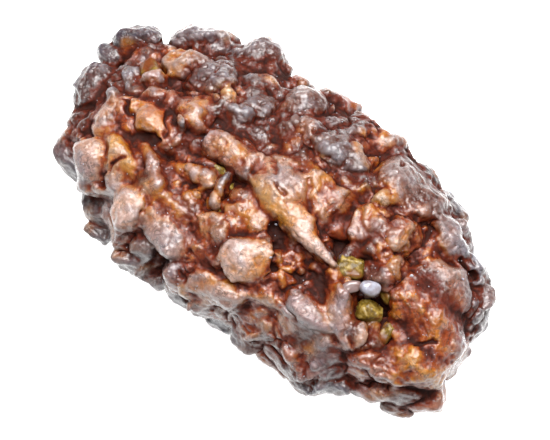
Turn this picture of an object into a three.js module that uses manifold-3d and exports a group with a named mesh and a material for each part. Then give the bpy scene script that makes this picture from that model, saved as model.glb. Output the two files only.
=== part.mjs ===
// An apple fritter: chopped dough pieces and apple dice pressed into a loose oval, then fried and glazed.
// Millimetres, +Z up. X runs along the fritter and Y across it. The origin is on the table, under its middle.
import * as THREE from "three";
import { ImprovedNoise } from "three/addons/math/ImprovedNoise.js";
import { RoundedBoxGeometry } from "three/addons/geometries/RoundedBoxGeometry.js";
import { mergeVertices } from "three/addons/utils/BufferGeometryUtils.js";
import Module from "manifold-3d";

// Driving dimensions of the oval that the dough pieces are pressed into.
const LENGTH = 121;
const WIDTH = 68;
const HEIGHT = 35;
const GIRTH_LEVEL = 15; // the height at which the oval is widest
const PLAN_POWER = 2.3; // 2 is an ellipse, more is squarer
const DOME_POWER = 2.6; // more gives a flatter top
const BASE_SHARE = 0.62; // the flat underside's share of the length and width

// How the pieces sit on the oval.
const PIT_DEPTH = 5; // from the dome down to the core that shows between the pieces
const ROOT = 2; // how far each piece reaches into the core
const REACH = 8; // no piece stands further than this from the oval

// The shape of one dough piece.
const PIECE_POWER = 2.5; // 2 is an egg, more is boxier
const WRINKLE_SIZE = 6.5;
const WRINKLE_DEPTH = 0.9;
const CORE_WRINKLE_DEPTH = 1.4;

// Rows of pieces round the side, where no named piece is: the row's slant in degrees, from 90 at the dome's
// top through 0 at the girth, its count, and the range of its pieces' lengths.
const SEED = 1907;
const SIDE_ROWS = [
  { slant: 27, count: 24, lengths: [8, 12] },
  { slant: 4, count: 27, lengths: [9, 14] },
  { slant: -18, count: 25, lengths: [9, 13] },
  { slant: -40, count: 22, lengths: [9, 14] },
  { slant: -58, count: 18, lengths: [9, 14] },
];
const SIDE_WIDTHS = [6.5, 9];
const SIDE_PROUD = [-1, 1.6];
const SIDE_TURN = [-35, 35];
const SIDE_JITTER = [-5, 5]; // of the slant
const SIDE_CLEAR = 0.75; // a side piece keeps this share of a named piece's reach from its middle

// Small nubs between the large pieces on top.
const NUB_COUNT = 60;
const NUB_SIZES = [3, 5.2];
const NUB_PROUD = [-1.2, 1.2];
const NUB_CLEAR = 0.62; // a nub keeps this share of a large piece's size from its middle
const NUB_LIMIT = 0.93; // the share of the plan that has nubs

// Dice of apple and their pockets in the dough.
const DIE_ROUNDING = 1.1;
const POCKET_GAP = 0.35;

// How finely the skin is drawn.
const SKIN_STEPS = [60, 34, 16]; // along, across and up
const CAP_SHARE = 0.82; // the middle share of the plan that is drawn as a grid
const MARCH = 0.1; // the step of the search for the outermost piece
const WELD = 1e-4; // points closer than this are one point
const SLIVER = 0.05; // faces thinner than this are merged

// The dough pieces that stand out on top: x, y, length, width, turn in degrees, and height above the dome.
const TOP_PIECES = {
  foldLeft: [-3, 5, 13, 9, 15, 3],
  foldRidge: [2, -2, 21, 6.5, -8, 4],
  foldRight: [10, 4.5, 14, 10, -20, 3],
  foldTail: [15, -4.8, 18, 4, -4, 3.5],
  foldCrest: [2, 8.5, 10, 5, 10, 2],
  creamKnob: [4.5, -17, 12, 10, 75, 4],
  pinkKnob: [-3, -8.5, 11, 9, -25, 2.5],
  pinkBead: [-6.5, -6, 5, 4.5, 0, 2],
  caramelNut: [13, -12.5, 7, 6, 0, 1.5],
  caramelLog: [13.5, -18.5, 10, 5, 30, 1.5],
  creamStrip: [13, -24, 10, 4.5, 24, 1.5],
  amberCrumb: [23, -8.5, 4.5, 4, 0, 0.5],
  rustCrumb: [20.5, -12.5, 6, 4, 80, -1],
  longRidge: [-14, 1.5, 17, 7, 4, 3.5],
  ridgeBead: [-8.5, 0, 3.5, 3.5, 0, 3],
  smallKnob: [-10, 8, 5.5, 5, 20, 1],
  roundKnob: [-30, 4, 10.5, 8.5, 20, 2.5],
  orangeKnob: [-38, -4, 14, 9, -5, 3],
  tanKnob: [-46, -7.5, 10, 9, 60, 3],
  tanBead: [-49, -4, 4.5, 4.5, 0, 3],
  bigFold: [-42, -19.5, 15, 10, 70, 3.5],
  bigFoldCrest: [-39.5, -14.8, 16, 4.5, -8, 3],
  bigFoldSide: [-36, -19, 9, 6, -60, 2],
  paleKnob: [-28, -24, 15, 11.5, -25, 4],
  goldBand: [-25, -17.8, 14, 4.5, -14, 2],
  pinkBand: [-29, -13, 11, 5, -20, 1],
  crescent: [-14, -24.5, 17, 7, -6, 3],
  brownKnob: [-7, -17, 10, 9, -50, 2],
  brownNub: [-17, -17, 7, 6.5, 40, 1],
  pinkNub: [-18, -8, 7, 5.5, -20, 1],
  glazedFinger: [-12.5, -7.5, 7, 2.8, -70, 2],
  rustNub: [-20, -13, 6, 5, 0, 0],
  speckledKnob: [5.5, 18, 12, 8, 5, 2],
  amberKnob: [15, 13, 6.5, 5.5, -30, 1],
  tanSlab: [22.5, 21.5, 15, 10, -15, 3],
  tanSlabSide: [29, 21, 9, 7, 80, 2.5],
  goldCrumb: [22, 14.5, 9, 5, -20, 1.5],
  brownLog: [37.5, 20, 11, 6, -10, 2],
  blushKnob: [22.5, 7.5, 8, 7, -30, 2],
  orangeLump: [29, 10.5, 9, 7.5, 20, 2],
  wetLump: [32, 2, 9, 7.5, 10, 2],
  paleCrumb: [27, 4, 6, 4, 30, 1.5],
  endLump: [45, 8, 13, 11, -30, 2.5],
  rustMass: [49, 0, 20, 11, -10, 3],
  rustLobe: [41.5, -2.5, 8, 5, -60, 2],
  amberEnd: [53, -10, 14, 9, 25, 2.5],
  paleNub: [44.5, -8.5, 5, 4.5, 70, 0.5],
  ridgeFold: [25, -18, 13, 6, 10, 2.5],
  ridgeBend: [31, -13, 14, 6.5, -35, 3],
  creamNub: [36.5, -14, 5, 4.5, 0, 3],
  rimmedNub: [22, -23.5, 9, 6, 5, 1],
  edgeKnob: [3, -28.5, 13, 8, 5, 2],
  caramelNub: [-2.5, -22.5, 6, 5, -40, 1],
  greyNub: [40.5, -14, 6, 3.5, -20, 0.5],
  lowerPink: [48, -17, 9, 5, 20, 1.5],
  lowerRust: [41.5, -19.5, 8, 5, 20, 0.5],
  lowerDark: [34, -24, 11, 6, 10, 0.5],
  greyPatch: [-20, 14, 13, 7, 80, 1.5],
  greyKnob: [-11, 24, 10, 8.5, 20, 2.5],
  tanBar: [-4.5, 17.5, 10, 6, -10, 1.5],
  tanFinger: [-8, 13, 8, 4, -35, 1],
  brownDome: [-43, 15, 10.5, 8.5, 10, 2.5],
  mauveDome: [-33, 15.5, 9, 9, -30, 2.5],
  amberNub: [-26.5, 14, 5.5, 4.5, 70, 1],
  darkNub: [-24, 9.5, 6, 4.5, 0, 1],
  tanNub: [-43, 2, 7, 6, 30, 1.5],
  curl: [-50, 3, 8, 4, -40, 1.5],
  rustSlope: [-55, 11, 9, 8, 30, 1],
  darkStem: [2, 26, 10, 5, 80, 1],
  darkStemSide: [-2, 23, 8, 4, 75, 1],
  greyShoulder: [-24, 22, 9, 6, -20, 1.5],
  greyBead: [-31, 21, 6, 5, 0, 1],
};

// The dough pieces that shape the outline: x, y, level, length along the rim, height, and depth inwards.
const RIM_PIECES = {
  leftKnob: [-57, 15, 18, 13, 13, 12],
  leftBead: [-60.5, 7.5, 16, 6, 6, 7],
  leftBall: [-56.5, -1.5, 17, 15, 15, 14],
  lowerLeftBead: [-55, -11, 12, 7, 6, 7],
  lowerLeftKnob: [-50.5, -17.5, 13, 14, 11, 12],
  orangeBead: [-34, -28, 9, 9, 6, 9],
  topLeftKnob: [-44, 25, 18, 17, 14, 13],
  topKnob: [-30, 29, 19, 17, 14, 13],
  redKnob: [-4, 29.5, 20, 8, 9, 10],
  tanShoulder: [10, 26.5, 21, 15, 15, 13],
  stoneShoulder: [22, 27.5, 18, 11, 12, 10],
  stoneEdge: [31, 26, 15, 13, 12, 11],
  glazedEdge: [41, 20.5, 15, 13, 12, 11],
  rightFlap: [52.5, 12.5, 13, 16, 13, 8],
  rightEnd: [55.5, 0, 15, 12, 13, 10],
  endKnob: [55.5, -10.5, 12, 12, 10, 11],
  endBead: [51.5, -16.5, 9, 9, 8, 10],
};

// Gaps between the pieces that stay open and deep: x, y and radius.
const PITS = {
  underOrangeKnob: [-36, -9, 3],
  besideRidge: [-10, -10, 4.5],
  besideCreamKnob: [-2, -14, 2.5],
  behindFold: [18, 0.5, 4.5],
  underFoldTail: [17.5, -11, 3],
  rightHollow: [35, 8, 4],
  behindWetLump: [37, 1, 2.5],
  slot: [32.5, 20, 2],
  underAmberKnob: [17.5, 9, 2.5],
  topNotch: [-16, 27, 4.5],
  lowerHole: [-15, -30, 3],
  flapGap: [45.5, 15.5, 2.5],
};

// Dice of apple that show in the gaps: x, y, length, width, height, turn, tilt, and depth below the dome.
const APPLE_DICE = {
  apple_middle: [-14, -5.5, 9, 6, 8, 5, 12, 2.2],
  apple_sliver: [-7.6, -10.6, 4, 7, 7, 10, -10, 2.6],
  apple_left: [-48, 8, 6.5, 5, 6, -25, 14, 0.4],
  apple_top: [15.8, 20, 4.5, 6, 7, 15, -8, 2],
  apple_right: [25.5, -3, 7, 6.5, 8, 35, 10, 1.6],
  apple_cube: [36.3, -7.4, 6.2, 5.2, 7, 20, -14, 0.6],
  apple_wedge: [37.2, -2.1, 4.5, 3.6, 6, -15, 8, 1.4],
  apple_end: [43, -9.8, 3.6, 5.5, 6, 8, 6, 1.8],
};

const CRUST = { color: 0x7a3f22, roughness: 0.4, metalness: 0 };
const FRUIT = { color: 0x9c8f3a, roughness: 0.35, metalness: 0 };

const ALONG = new THREE.Vector3(1, 0, 0);
const UP = new THREE.Vector3(0, 0, 1);
const UPPER = HEIGHT - GIRTH_LEVEL;
const LOWER = GIRTH_LEVEL / Math.sqrt(1 - BASE_SHARE ** DOME_POWER);

const wasm = await Module();
wasm.setup();
const perlin = new ImprovedNoise();

// A repeatable stream of numbers from 0 to 1.
function seededRandom(seed) {
  let state = seed;
  return () => {
    state = (state + 0x6d2b79f5) | 0;
    let mixed = Math.imul(state ^ (state >>> 15), 1 | state);
    mixed = (mixed + Math.imul(mixed ^ (mixed >>> 7), 61 | mixed)) ^ mixed;
    return ((mixed ^ (mixed >>> 14)) >>> 0) / 2 ** 32;
  };
}

const between = (random, [low, high]) => low + (high - low) * random();

// How far out a plan point lies, from 0 at the middle to 1 on the oval's girth.
function planShare(x, y) {
  const along = Math.abs(x / (LENGTH / 2)) ** PLAN_POWER;
  const across = Math.abs(y / (WIDTH / 2)) ** PLAN_POWER;
  return (along + across) ** (1 / PLAN_POWER);
}

// The plan point at a share of the oval's size, going round it, raised to a level.
function planPoint(turn, share, level) {
  const bow = (value) => Math.sign(value) * Math.abs(value) ** (2 / PLAN_POWER);
  const x = (bow(Math.cos(turn)) * share * LENGTH) / 2;
  const y = (bow(Math.sin(turn)) * share * WIDTH) / 2;
  return new THREE.Vector3(x, y, level);
}

// The point of the smooth oval at a turn round it and a slant up or down from its girth.
function ovalPoint(turn, slant) {
  const level = GIRTH_LEVEL + Math.sin(slant) * (slant > 0 ? UPPER : LOWER);
  return planPoint(turn, Math.cos(slant) ** (2 / DOME_POWER), level);
}

// The slant at which the oval has a share of its full size.
const slantAt = (share) => Math.acos(share ** (DOME_POWER / 2));

// The point of the smooth dome over a plan point.
function domePoint(x, y) {
  const share = Math.min(1, planShare(x, y));
  return new THREE.Vector3(x, y, GIRTH_LEVEL + UPPER * Math.sqrt(1 - share ** DOME_POWER));
}

// The way out of the oval at a point of its skin, from the slope of its formula.
function wayOut({ x, y, z }) {
  const step = 0.5;
  const slope = (ahead, behind) => (ahead ** DOME_POWER - behind ** DOME_POWER) / (2 * step);
  const height = z > GIRTH_LEVEL ? UPPER : LOWER;
  return new THREE.Vector3(
    slope(planShare(x + step, y), planShare(x - step, y)),
    slope(planShare(x, y + step), planShare(x, y - step)),
    (2 * (z - GIRTH_LEVEL)) / height ** 2,
  ).normalize();
}

// Moves a point by smooth noise, so that no two pieces are alike.
function wrinkle(point, depth) {
  const { x, y, z } = point.clone().divideScalar(WRINKLE_SIZE);
  point.x += depth * perlin.noise(x, y, z + 11.3);
  point.y += depth * perlin.noise(x + 37.1, y, z);
  point.z += depth * perlin.noise(x, y + 53.7, z);
  return point;
}

// A place on the dough: its Z along a normal, and its X along a heading that is turned about the normal.
function placeOn(normal, heading, turn, middle) {
  const across = normal.clone().cross(heading).normalize();
  const along = across.clone().cross(normal);
  const turned = new THREE.Matrix4().makeRotationZ(THREE.MathUtils.degToRad(turn));
  return new THREE.Matrix4().makeBasis(along, across, normal).multiply(turned).setPosition(middle);
}

// A dough piece of three sizes at a place, kept as its middle, its reach and the way into its own unit ball.
function doughPiece(length, width, height, place) {
  const half = new THREE.Vector3(length, width, height).multiplyScalar(0.5);
  return {
    middle: new THREE.Vector3().setFromMatrixPosition(place),
    reach: half.length(),
    inwards: place.clone().scale(half).invert(),
  };
}

// Whether a point is inside a dough piece.
function isInside(piece, point) {
  const { x, y, z } = point.clone().applyMatrix4(piece.inwards);
  return Math.abs(x) ** PIECE_POWER + Math.abs(y) ** PIECE_POWER + Math.abs(z) ** PIECE_POWER < 1;
}

// A piece that stands proud of the smooth oval and is rooted in the core below it.
function rootedPiece(place, heading, length, width, turn, proud) {
  const normal = wayOut(place);
  const height = Math.max(0.8 * width, proud + PIT_DEPTH + ROOT);
  const middle = place.clone().addScaledVector(normal, proud - height / 2);
  return doughPiece(length, width, height, placeOn(normal, heading, turn, middle));
}

// A piece on top, turned from the fritter's long way.
function topPiece([x, y, length, width, turn, proud]) {
  return rootedPiece(domePoint(x, y), ALONG, length, width, turn, proud);
}

// A piece on the rim, lying along it.
function rimPiece([x, y, level, length, height, depth]) {
  const outwards = Math.atan2(y / WIDTH ** 2, x / LENGTH ** 2);
  const turn = THREE.MathUtils.radToDeg(outwards) + 90;
  return doughPiece(length, depth, height, placeOn(UP, ALONG, turn, new THREE.Vector3(x, y, level)));
}

// Rows of pieces round the side, wherever no named piece is near.
function sidePieces(random, named) {
  const made = [];
  for (const { slant, count, lengths } of SIDE_ROWS) {
    const first = random();
    for (let i = 0; i < count; i++) {
      const turn = (2 * Math.PI * (i + first + 0.4 * random())) / count;
      const place = ovalPoint(turn, THREE.MathUtils.degToRad(slant + between(random, SIDE_JITTER)));
      const heading = UP.clone().cross(wayOut(place));
      const sizes = [between(random, lengths), between(random, SIDE_WIDTHS)];
      const stance = [between(random, SIDE_TURN), between(random, SIDE_PROUD)];
      const taken = named.some((piece) => piece.middle.distanceTo(place) < SIDE_CLEAR * piece.reach);
      if (!taken) made.push(rootedPiece(place, heading, ...sizes, ...stance));
    }
  }
  return made;
}

// Small nubs on top, kept off the large pieces' tops, the deep gaps and the dice of apple.
function nubs(random) {
  const kept = [
    ...Object.values(TOP_PIECES).map(([x, y, length, width]) => [x, y, (NUB_CLEAR * (length + width)) / 2]),
    ...Object.values(APPLE_DICE).map(([x, y, length, width]) => [x, y, (length + width) / 2]),
    ...Object.values(PITS),
  ];
  const made = [];
  while (made.length < NUB_COUNT) {
    const x = (random() - 0.5) * LENGTH;
    const y = (random() - 0.5) * WIDTH;
    const clear = kept.every(([keptX, keptY, radius]) => Math.hypot(x - keptX, y - keptY) > radius);
    if (planShare(x, y) > NUB_LIMIT || !clear) continue;
    const size = between(random, NUB_SIZES);
    kept.push([x, y, 0.8 * size]);
    made.push(topPiece([x, y, 1.25 * size, size, 180 * random(), between(random, NUB_PROUD)]));
  }
  return made;
}

// Where a point on the surface of a box that is 2 long each way goes on the smooth oval.
function skinPoint({ x, y, z }) {
  const along = x * Math.sqrt(1 - y ** 2 / 2);
  const across = y * Math.sqrt(1 - x ** 2 / 2);
  const turn = Math.atan2(across, along);
  const radius = Math.hypot(along, across);
  if (z === -1) return planPoint(turn, radius * BASE_SHARE, 0);
  if (z === 1) return ovalPoint(turn, slantAt(radius * CAP_SHARE));
  return ovalPoint(turn, THREE.MathUtils.lerp(-slantAt(BASE_SHARE), slantAt(CAP_SHARE), (1 + z) / 2));
}

// The outermost dough above a point of the smooth oval: a piece, or the wrinkled core between pieces.
function raised(start, pieces) {
  const out = wayOut(start);
  const near = pieces.filter((piece) => piece.middle.distanceTo(start) < piece.reach + REACH);
  const core = wrinkle(start.clone().addScaledVector(out, -PIT_DEPTH), CORE_WRINKLE_DEPTH);
  for (let height = REACH; height > -PIT_DEPTH; height -= MARCH) {
    const point = start.clone().addScaledVector(out, height);
    const sample = wrinkle(point.clone(), WRINKLE_DEPTH);
    if (near.some((piece) => isInside(piece, sample))) return point;
  }
  return core;
}

// The skin of the dough: a fine box laid over the oval and raised over the pieces, flat on the table.
function doughSkin(pieces) {
  const geometry = new THREE.BoxGeometry(2, 2, 2, ...SKIN_STEPS);
  const places = geometry.getAttribute("position");
  const box = new THREE.Vector3();
  for (let i = 0; i < places.count; i++) {
    box.fromBufferAttribute(places, i);
    const smooth = skinPoint(box);
    const underneath = box.z === -1 && Math.abs(box.x) < 1 && Math.abs(box.y) < 1;
    const point = underneath ? smooth : raised(smooth, pieces);
    places.setXYZ(i, point.x, point.y, Math.max(0, point.z));
  }
  return geometry;
}

// A closed geometry as a solid that can be joined and cut.
function solidOf(geometry) {
  const bare = geometry.clone();
  bare.deleteAttribute("normal");
  bare.deleteAttribute("uv");
  const welded = mergeVertices(bare, WELD);
  const vertProperties = welded.getAttribute("position").array;
  const triVerts = new Uint32Array(welded.index.array);
  return new wasm.Manifold(new wasm.Mesh({ numProp: 3, vertProperties, triVerts }));
}

// A solid as a geometry.
function geometryOf(solid) {
  const { vertProperties, triVerts } = solid.getMesh();
  const geometry = new THREE.BufferGeometry();
  geometry.setAttribute("position", new THREE.BufferAttribute(vertProperties, 3));
  geometry.setIndex(new THREE.BufferAttribute(triVerts, 1));
  geometry.computeVertexNormals();
  return geometry;
}

// One die of apple. Its pocket is the same die grown by a gap and drawn out above, so that the die shows.
function appleDie([x, y, length, width, height, turn, tilt, depth], gap = 0, above = 0) {
  const sizes = [length + 2 * gap, width + 2 * gap, height + 2 * gap + above];
  const geometry = new RoundedBoxGeometry(...sizes, 1, DIE_ROUNDING + gap);
  const top = domePoint(x, y);
  const normal = wayOut(top).applyAxisAngle(ALONG, THREE.MathUtils.degToRad(tilt));
  const middle = top.addScaledVector(normal, (above - height) / 2 - depth);
  return solidOf(geometry.applyMatrix4(placeOn(normal, ALONG, turn, middle)));
}

// All the dough in one solid, hollowed round the dice of apple.
function dough() {
  const random = seededRandom(SEED);
  const named = [...Object.values(TOP_PIECES).map(topPiece), ...Object.values(RIM_PIECES).map(rimPiece)];
  const pieces = [...named, ...sidePieces(random, named), ...nubs(random)];
  const pockets = Object.values(APPLE_DICE).map((die) => appleDie(die, POCKET_GAP, REACH));
  const cut = solidOf(doughSkin(pieces)).subtract(wasm.Manifold.union(pockets));
  const bodies = cut.asOriginal().simplify(SLIVER).decompose();
  return bodies.reduce((largest, body) => (body.volume() > largest.volume() ? body : largest));
}

// A named mesh with its own finish.
function nodeMesh(name, solid, finish) {
  const mesh = new THREE.Mesh(geometryOf(solid), new THREE.MeshStandardMaterial(finish));
  mesh.name = name;
  return mesh;
}

const fritter = new THREE.Group();
fritter.add(nodeMesh("dough", dough(), CRUST));
for (const [name, die] of Object.entries(APPLE_DICE)) {
  fritter.add(nodeMesh(name, appleDie(die), FRUIT));
}

// The origin goes under the middle of the fritter's box, at table level.
const middle = new THREE.Box3().setFromObject(fritter).getCenter(new THREE.Vector3());
fritter.children.forEach((mesh) => mesh.position.set(-middle.x, -middle.y, 0));

export default fritter;
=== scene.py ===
"""A glazed apple fritter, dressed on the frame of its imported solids.

The dough is modelled again, finer than the solid. The solid's skin gives the body, and its knobs, rim
pieces and nubs are set where the solid has them. Some of its pieces are drawn as bent folds, and torn bits
and crumbs lie between them. Lengths in the tables are millimetres in the plan of the oval that the pieces
are pressed into, X along the fritter and Y across it.
"""
from __future__ import annotations

import itertools
import logging
import math
from collections.abc import Iterator
from dataclasses import dataclass, field
from enum import Enum

import bpy
import numpy as np
from mathutils import Matrix, Vector
from mathutils.bvhtree import BVHTree

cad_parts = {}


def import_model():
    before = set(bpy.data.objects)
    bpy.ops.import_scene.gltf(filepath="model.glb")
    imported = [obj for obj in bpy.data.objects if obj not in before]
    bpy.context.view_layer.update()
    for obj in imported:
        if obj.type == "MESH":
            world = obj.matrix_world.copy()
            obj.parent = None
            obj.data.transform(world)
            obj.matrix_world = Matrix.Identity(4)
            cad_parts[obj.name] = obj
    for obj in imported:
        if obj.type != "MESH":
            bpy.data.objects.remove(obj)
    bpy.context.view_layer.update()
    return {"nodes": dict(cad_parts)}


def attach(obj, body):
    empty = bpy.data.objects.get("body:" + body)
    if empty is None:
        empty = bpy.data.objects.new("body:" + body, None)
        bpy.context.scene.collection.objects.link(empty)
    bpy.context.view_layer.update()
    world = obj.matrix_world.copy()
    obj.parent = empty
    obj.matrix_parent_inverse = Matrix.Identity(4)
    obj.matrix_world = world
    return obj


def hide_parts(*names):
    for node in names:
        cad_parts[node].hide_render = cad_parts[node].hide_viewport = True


log = logging.getLogger("fritter")

MM = 0.001
BODY = "root"
WORD = 0xFFFFFFFF
PRESSED = 1.25  # a piece runs on under its neighbours, so it is this much wider than what shows of it
MERGE_MM = 0.01  # points of a solid that lie closer than this are one point
LATTICE = 256  # how many slopes a noise has, a power of two
NOISE_GAIN = 1.6  # brings the noise to about -1 to 1
DOME_SPREAD = 0.45  # how far a dome's heart lies off the middle of its cell
FAR = 9.0  # further than any distance that is looked for
UP = np.array([0, 0, 1.0])
AHEAD = np.array([1.0, 0, 0])

Array = np.ndarray


def linear(hex_colour: str) -> tuple[float, float, float, float]:
    """Turns an sRGB hex colour into linear light.

    Args:
        hex_colour: Six hex digits with a leading hash.

    Returns:
        Red, green and blue in linear light, and an alpha of 1.
    """
    parts = [int(hex_colour[i : i + 2], 16) / 255 for i in (1, 3, 5)]
    light = [c / 12.92 if c <= 0.04045 else ((c + 0.055) / 1.055) ** 2.4 for c in parts]
    return (*light, 1.0)


def smoothstep(low: float, high: float, value: Array) -> Array:
    """Eases a value from 0 at low to 1 at high.

    Args:
        low: Where the result leaves 0.
        high: Where the result reaches 1.
        value: The values to ease.

    Returns:
        The eased values.
    """
    share = np.clip((value - low) / (high - low), 0, 1)
    return share * share * (3 - 2 * share)


def spot_share(points: Array, x: float, y: float, radius: float, core: float) -> Array:
    """Gives how far points lie into a round spot of the plan.

    Args:
        points: Points in millimetres, one to a row.
        x: The spot's place along the fritter.
        y: The spot's place across it.
        radius: The spot's edge, where the result leaves 0.
        core: The share of the radius within which the result is 1.

    Returns:
        One value for each point.
    """
    return smoothstep(radius, core * radius, np.hypot(points[:, 0] - x, points[:, 1] - y))


class Tint(Enum):
    """The colours of a dough piece: its crown, whose pale colour is partly fried colour and partly painted
    sheen, the glow round the crown, and its flank.
    """

    CREAM = ("#eccec6", "#d8925a", "#b0501a")
    PEACH = ("#cca8a0", "#c2804e", "#a04412")
    ORANGE = ("#c6907a", "#ca661a", "#a43804")
    AMBER = ("#dcb07a", "#d68a24", "#a04c08")
    PINK = ("#c0a6a8", "#b07052", "#8e3a14")
    TAN = ("#ac9490", "#a66440", "#863812")
    RUST = ("#a67a68", "#aa4e1c", "#8a2e06")
    MAUVE = ("#7e6e70", "#70423a", "#5a2210")
    GREY = ("#928c94", "#7c5c54", "#64301c")
    PLUM = ("#585060", "#463238", "#361a14")
    DARK = ("#664e4a", "#583022", "#461a0a")


class SeededDraw:
    """The stream of numbers from 0 to 1 that the solids' seeded pieces are drawn from."""

    def __init__(self, seed: int) -> None:
        """Starts the stream at a seed."""
        self.state = seed

    def draw(self) -> float:
        """Gives the next number of the stream.

        Returns:
            A number from 0 to 1.
        """
        self.state = (self.state + 0x6D2B79F5) & WORD
        mixed = ((self.state ^ (self.state >> 15)) * (1 | self.state)) & WORD
        mixed = ((mixed + ((mixed ^ (mixed >> 7)) * (61 | mixed))) ^ mixed) & WORD
        return (mixed ^ (mixed >> 14)) / 2**32

    def between(self, limits: tuple[float, float]) -> float:
        """Gives the next number, scaled to a range."""
        return limits[0] + (limits[1] - limits[0]) * self.draw()


class LatticeNoise:
    """Smooth repeatable noise over space, from about -1 to 1."""

    def __init__(self, seed: int) -> None:
        """Draws the lattice's slopes.

        Args:
            seed: The seed that they are drawn from.
        """
        draws = np.random.default_rng(seed)
        self.order = draws.permutation(LATTICE)
        slopes = draws.normal(size=(LATTICE, 3))
        self.slopes = slopes / np.linalg.norm(slopes, axis=1, keepdims=True)

    def keys(self, cell: Array, corner: tuple[int, ...]) -> Array:
        """Looks up the slopes' numbers at one corner of the points' cells.

        Args:
            cell: The points' cells, one to a row.
            corner: The corner's step from the cell along each axis.

        Returns:
            One number for each point.
        """
        key = np.zeros(len(cell), int)
        for axis in range(3):
            key = self.order[(key + cell[:, axis] + corner[axis]) & (LATTICE - 1)]
        return key

    def corners(self, cell: Array, ease: Array) -> Iterator[tuple[Array, Array, Array]]:
        """Goes round the eight corners of the points' cells.

        Args:
            cell: The points' cells, one to a row.
            ease: How far along its cell each point lies, eased.

        Yields:
            The corner's step, and for each point the slope there and the corner's weight.
        """
        for corner in itertools.product((0, 1), repeat=3):
            weight = np.ones(len(cell))
            for axis in range(3):
                weight = weight * (ease[:, axis] if corner[axis] else 1 - ease[:, axis])
            yield np.array(corner), self.slopes[self.keys(cell, corner)], weight

    def at(self, points: Array, size: float) -> Array:
        """Reads the noise at points.

        Args:
            points: Points in millimetres, one to a row.
            size: The length of one swell of the noise.

        Returns:
            One value for each point.
        """
        scaled = points / size
        cell = np.floor(scaled).astype(int)
        part = scaled - cell
        ease = part**3 * (part * (part * 6 - 15) + 10)
        total = np.zeros(len(points))
        for corner, slope, weight in self.corners(cell, ease):
            total += weight * np.einsum("ij,ij->i", slope, part - corner)
        return NOISE_GAIN * total

    def shift(self, points: Array, size: float) -> Array:
        """Reads a smooth random shift at points.

        Args:
            points: Points in millimetres, one to a row.
            size: The length of one swell of the noise.

        Returns:
            One shift for each point, of a length up to 1.
        """
        scaled = points / size
        cell = np.floor(scaled).astype(int)
        part = scaled - cell
        ease = part * part * (3 - 2 * part)
        total = np.zeros_like(points)
        for _, slope, weight in self.corners(cell, ease):
            total += weight[:, None] * slope
        return total

    def domes(self, points: Array, size: float) -> Array:
        """Reads a field of touching round domes with sharp creases between them.

        Args:
            points: Points in millimetres, one to a row.
            size: The mean width of a dome.

        Returns:
            One height for each point, from 0 in a crease to 1 on a dome.
        """
        scaled = points / size
        cell = np.floor(scaled).astype(int)
        closest = np.full(len(points), FAR)
        for corner in itertools.product((-1, 0, 1), repeat=3):
            heart = cell + np.array(corner) + 0.5 + DOME_SPREAD * self.slopes[self.keys(cell, corner)]
            closest = np.minimum(closest, ((scaled - heart) ** 2).sum(axis=1))
        return np.sqrt(np.clip(1 - closest, 0, 1))


@dataclass(frozen=True)
class Unevenness:
    """The slow and quick bends that keep every dough piece from being a plain ball."""

    scales: tuple = ((9.0, 1.3), (4.2, 1.3), (2.0, 0.4))
    seed: int = 31

    def shift(self, points: Array) -> Array:
        """Gives how far points are pushed about, in millimetres."""
        noise = LatticeNoise(self.seed)
        return sum(amount * noise.shift(points, size) for size, amount in self.scales)


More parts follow.
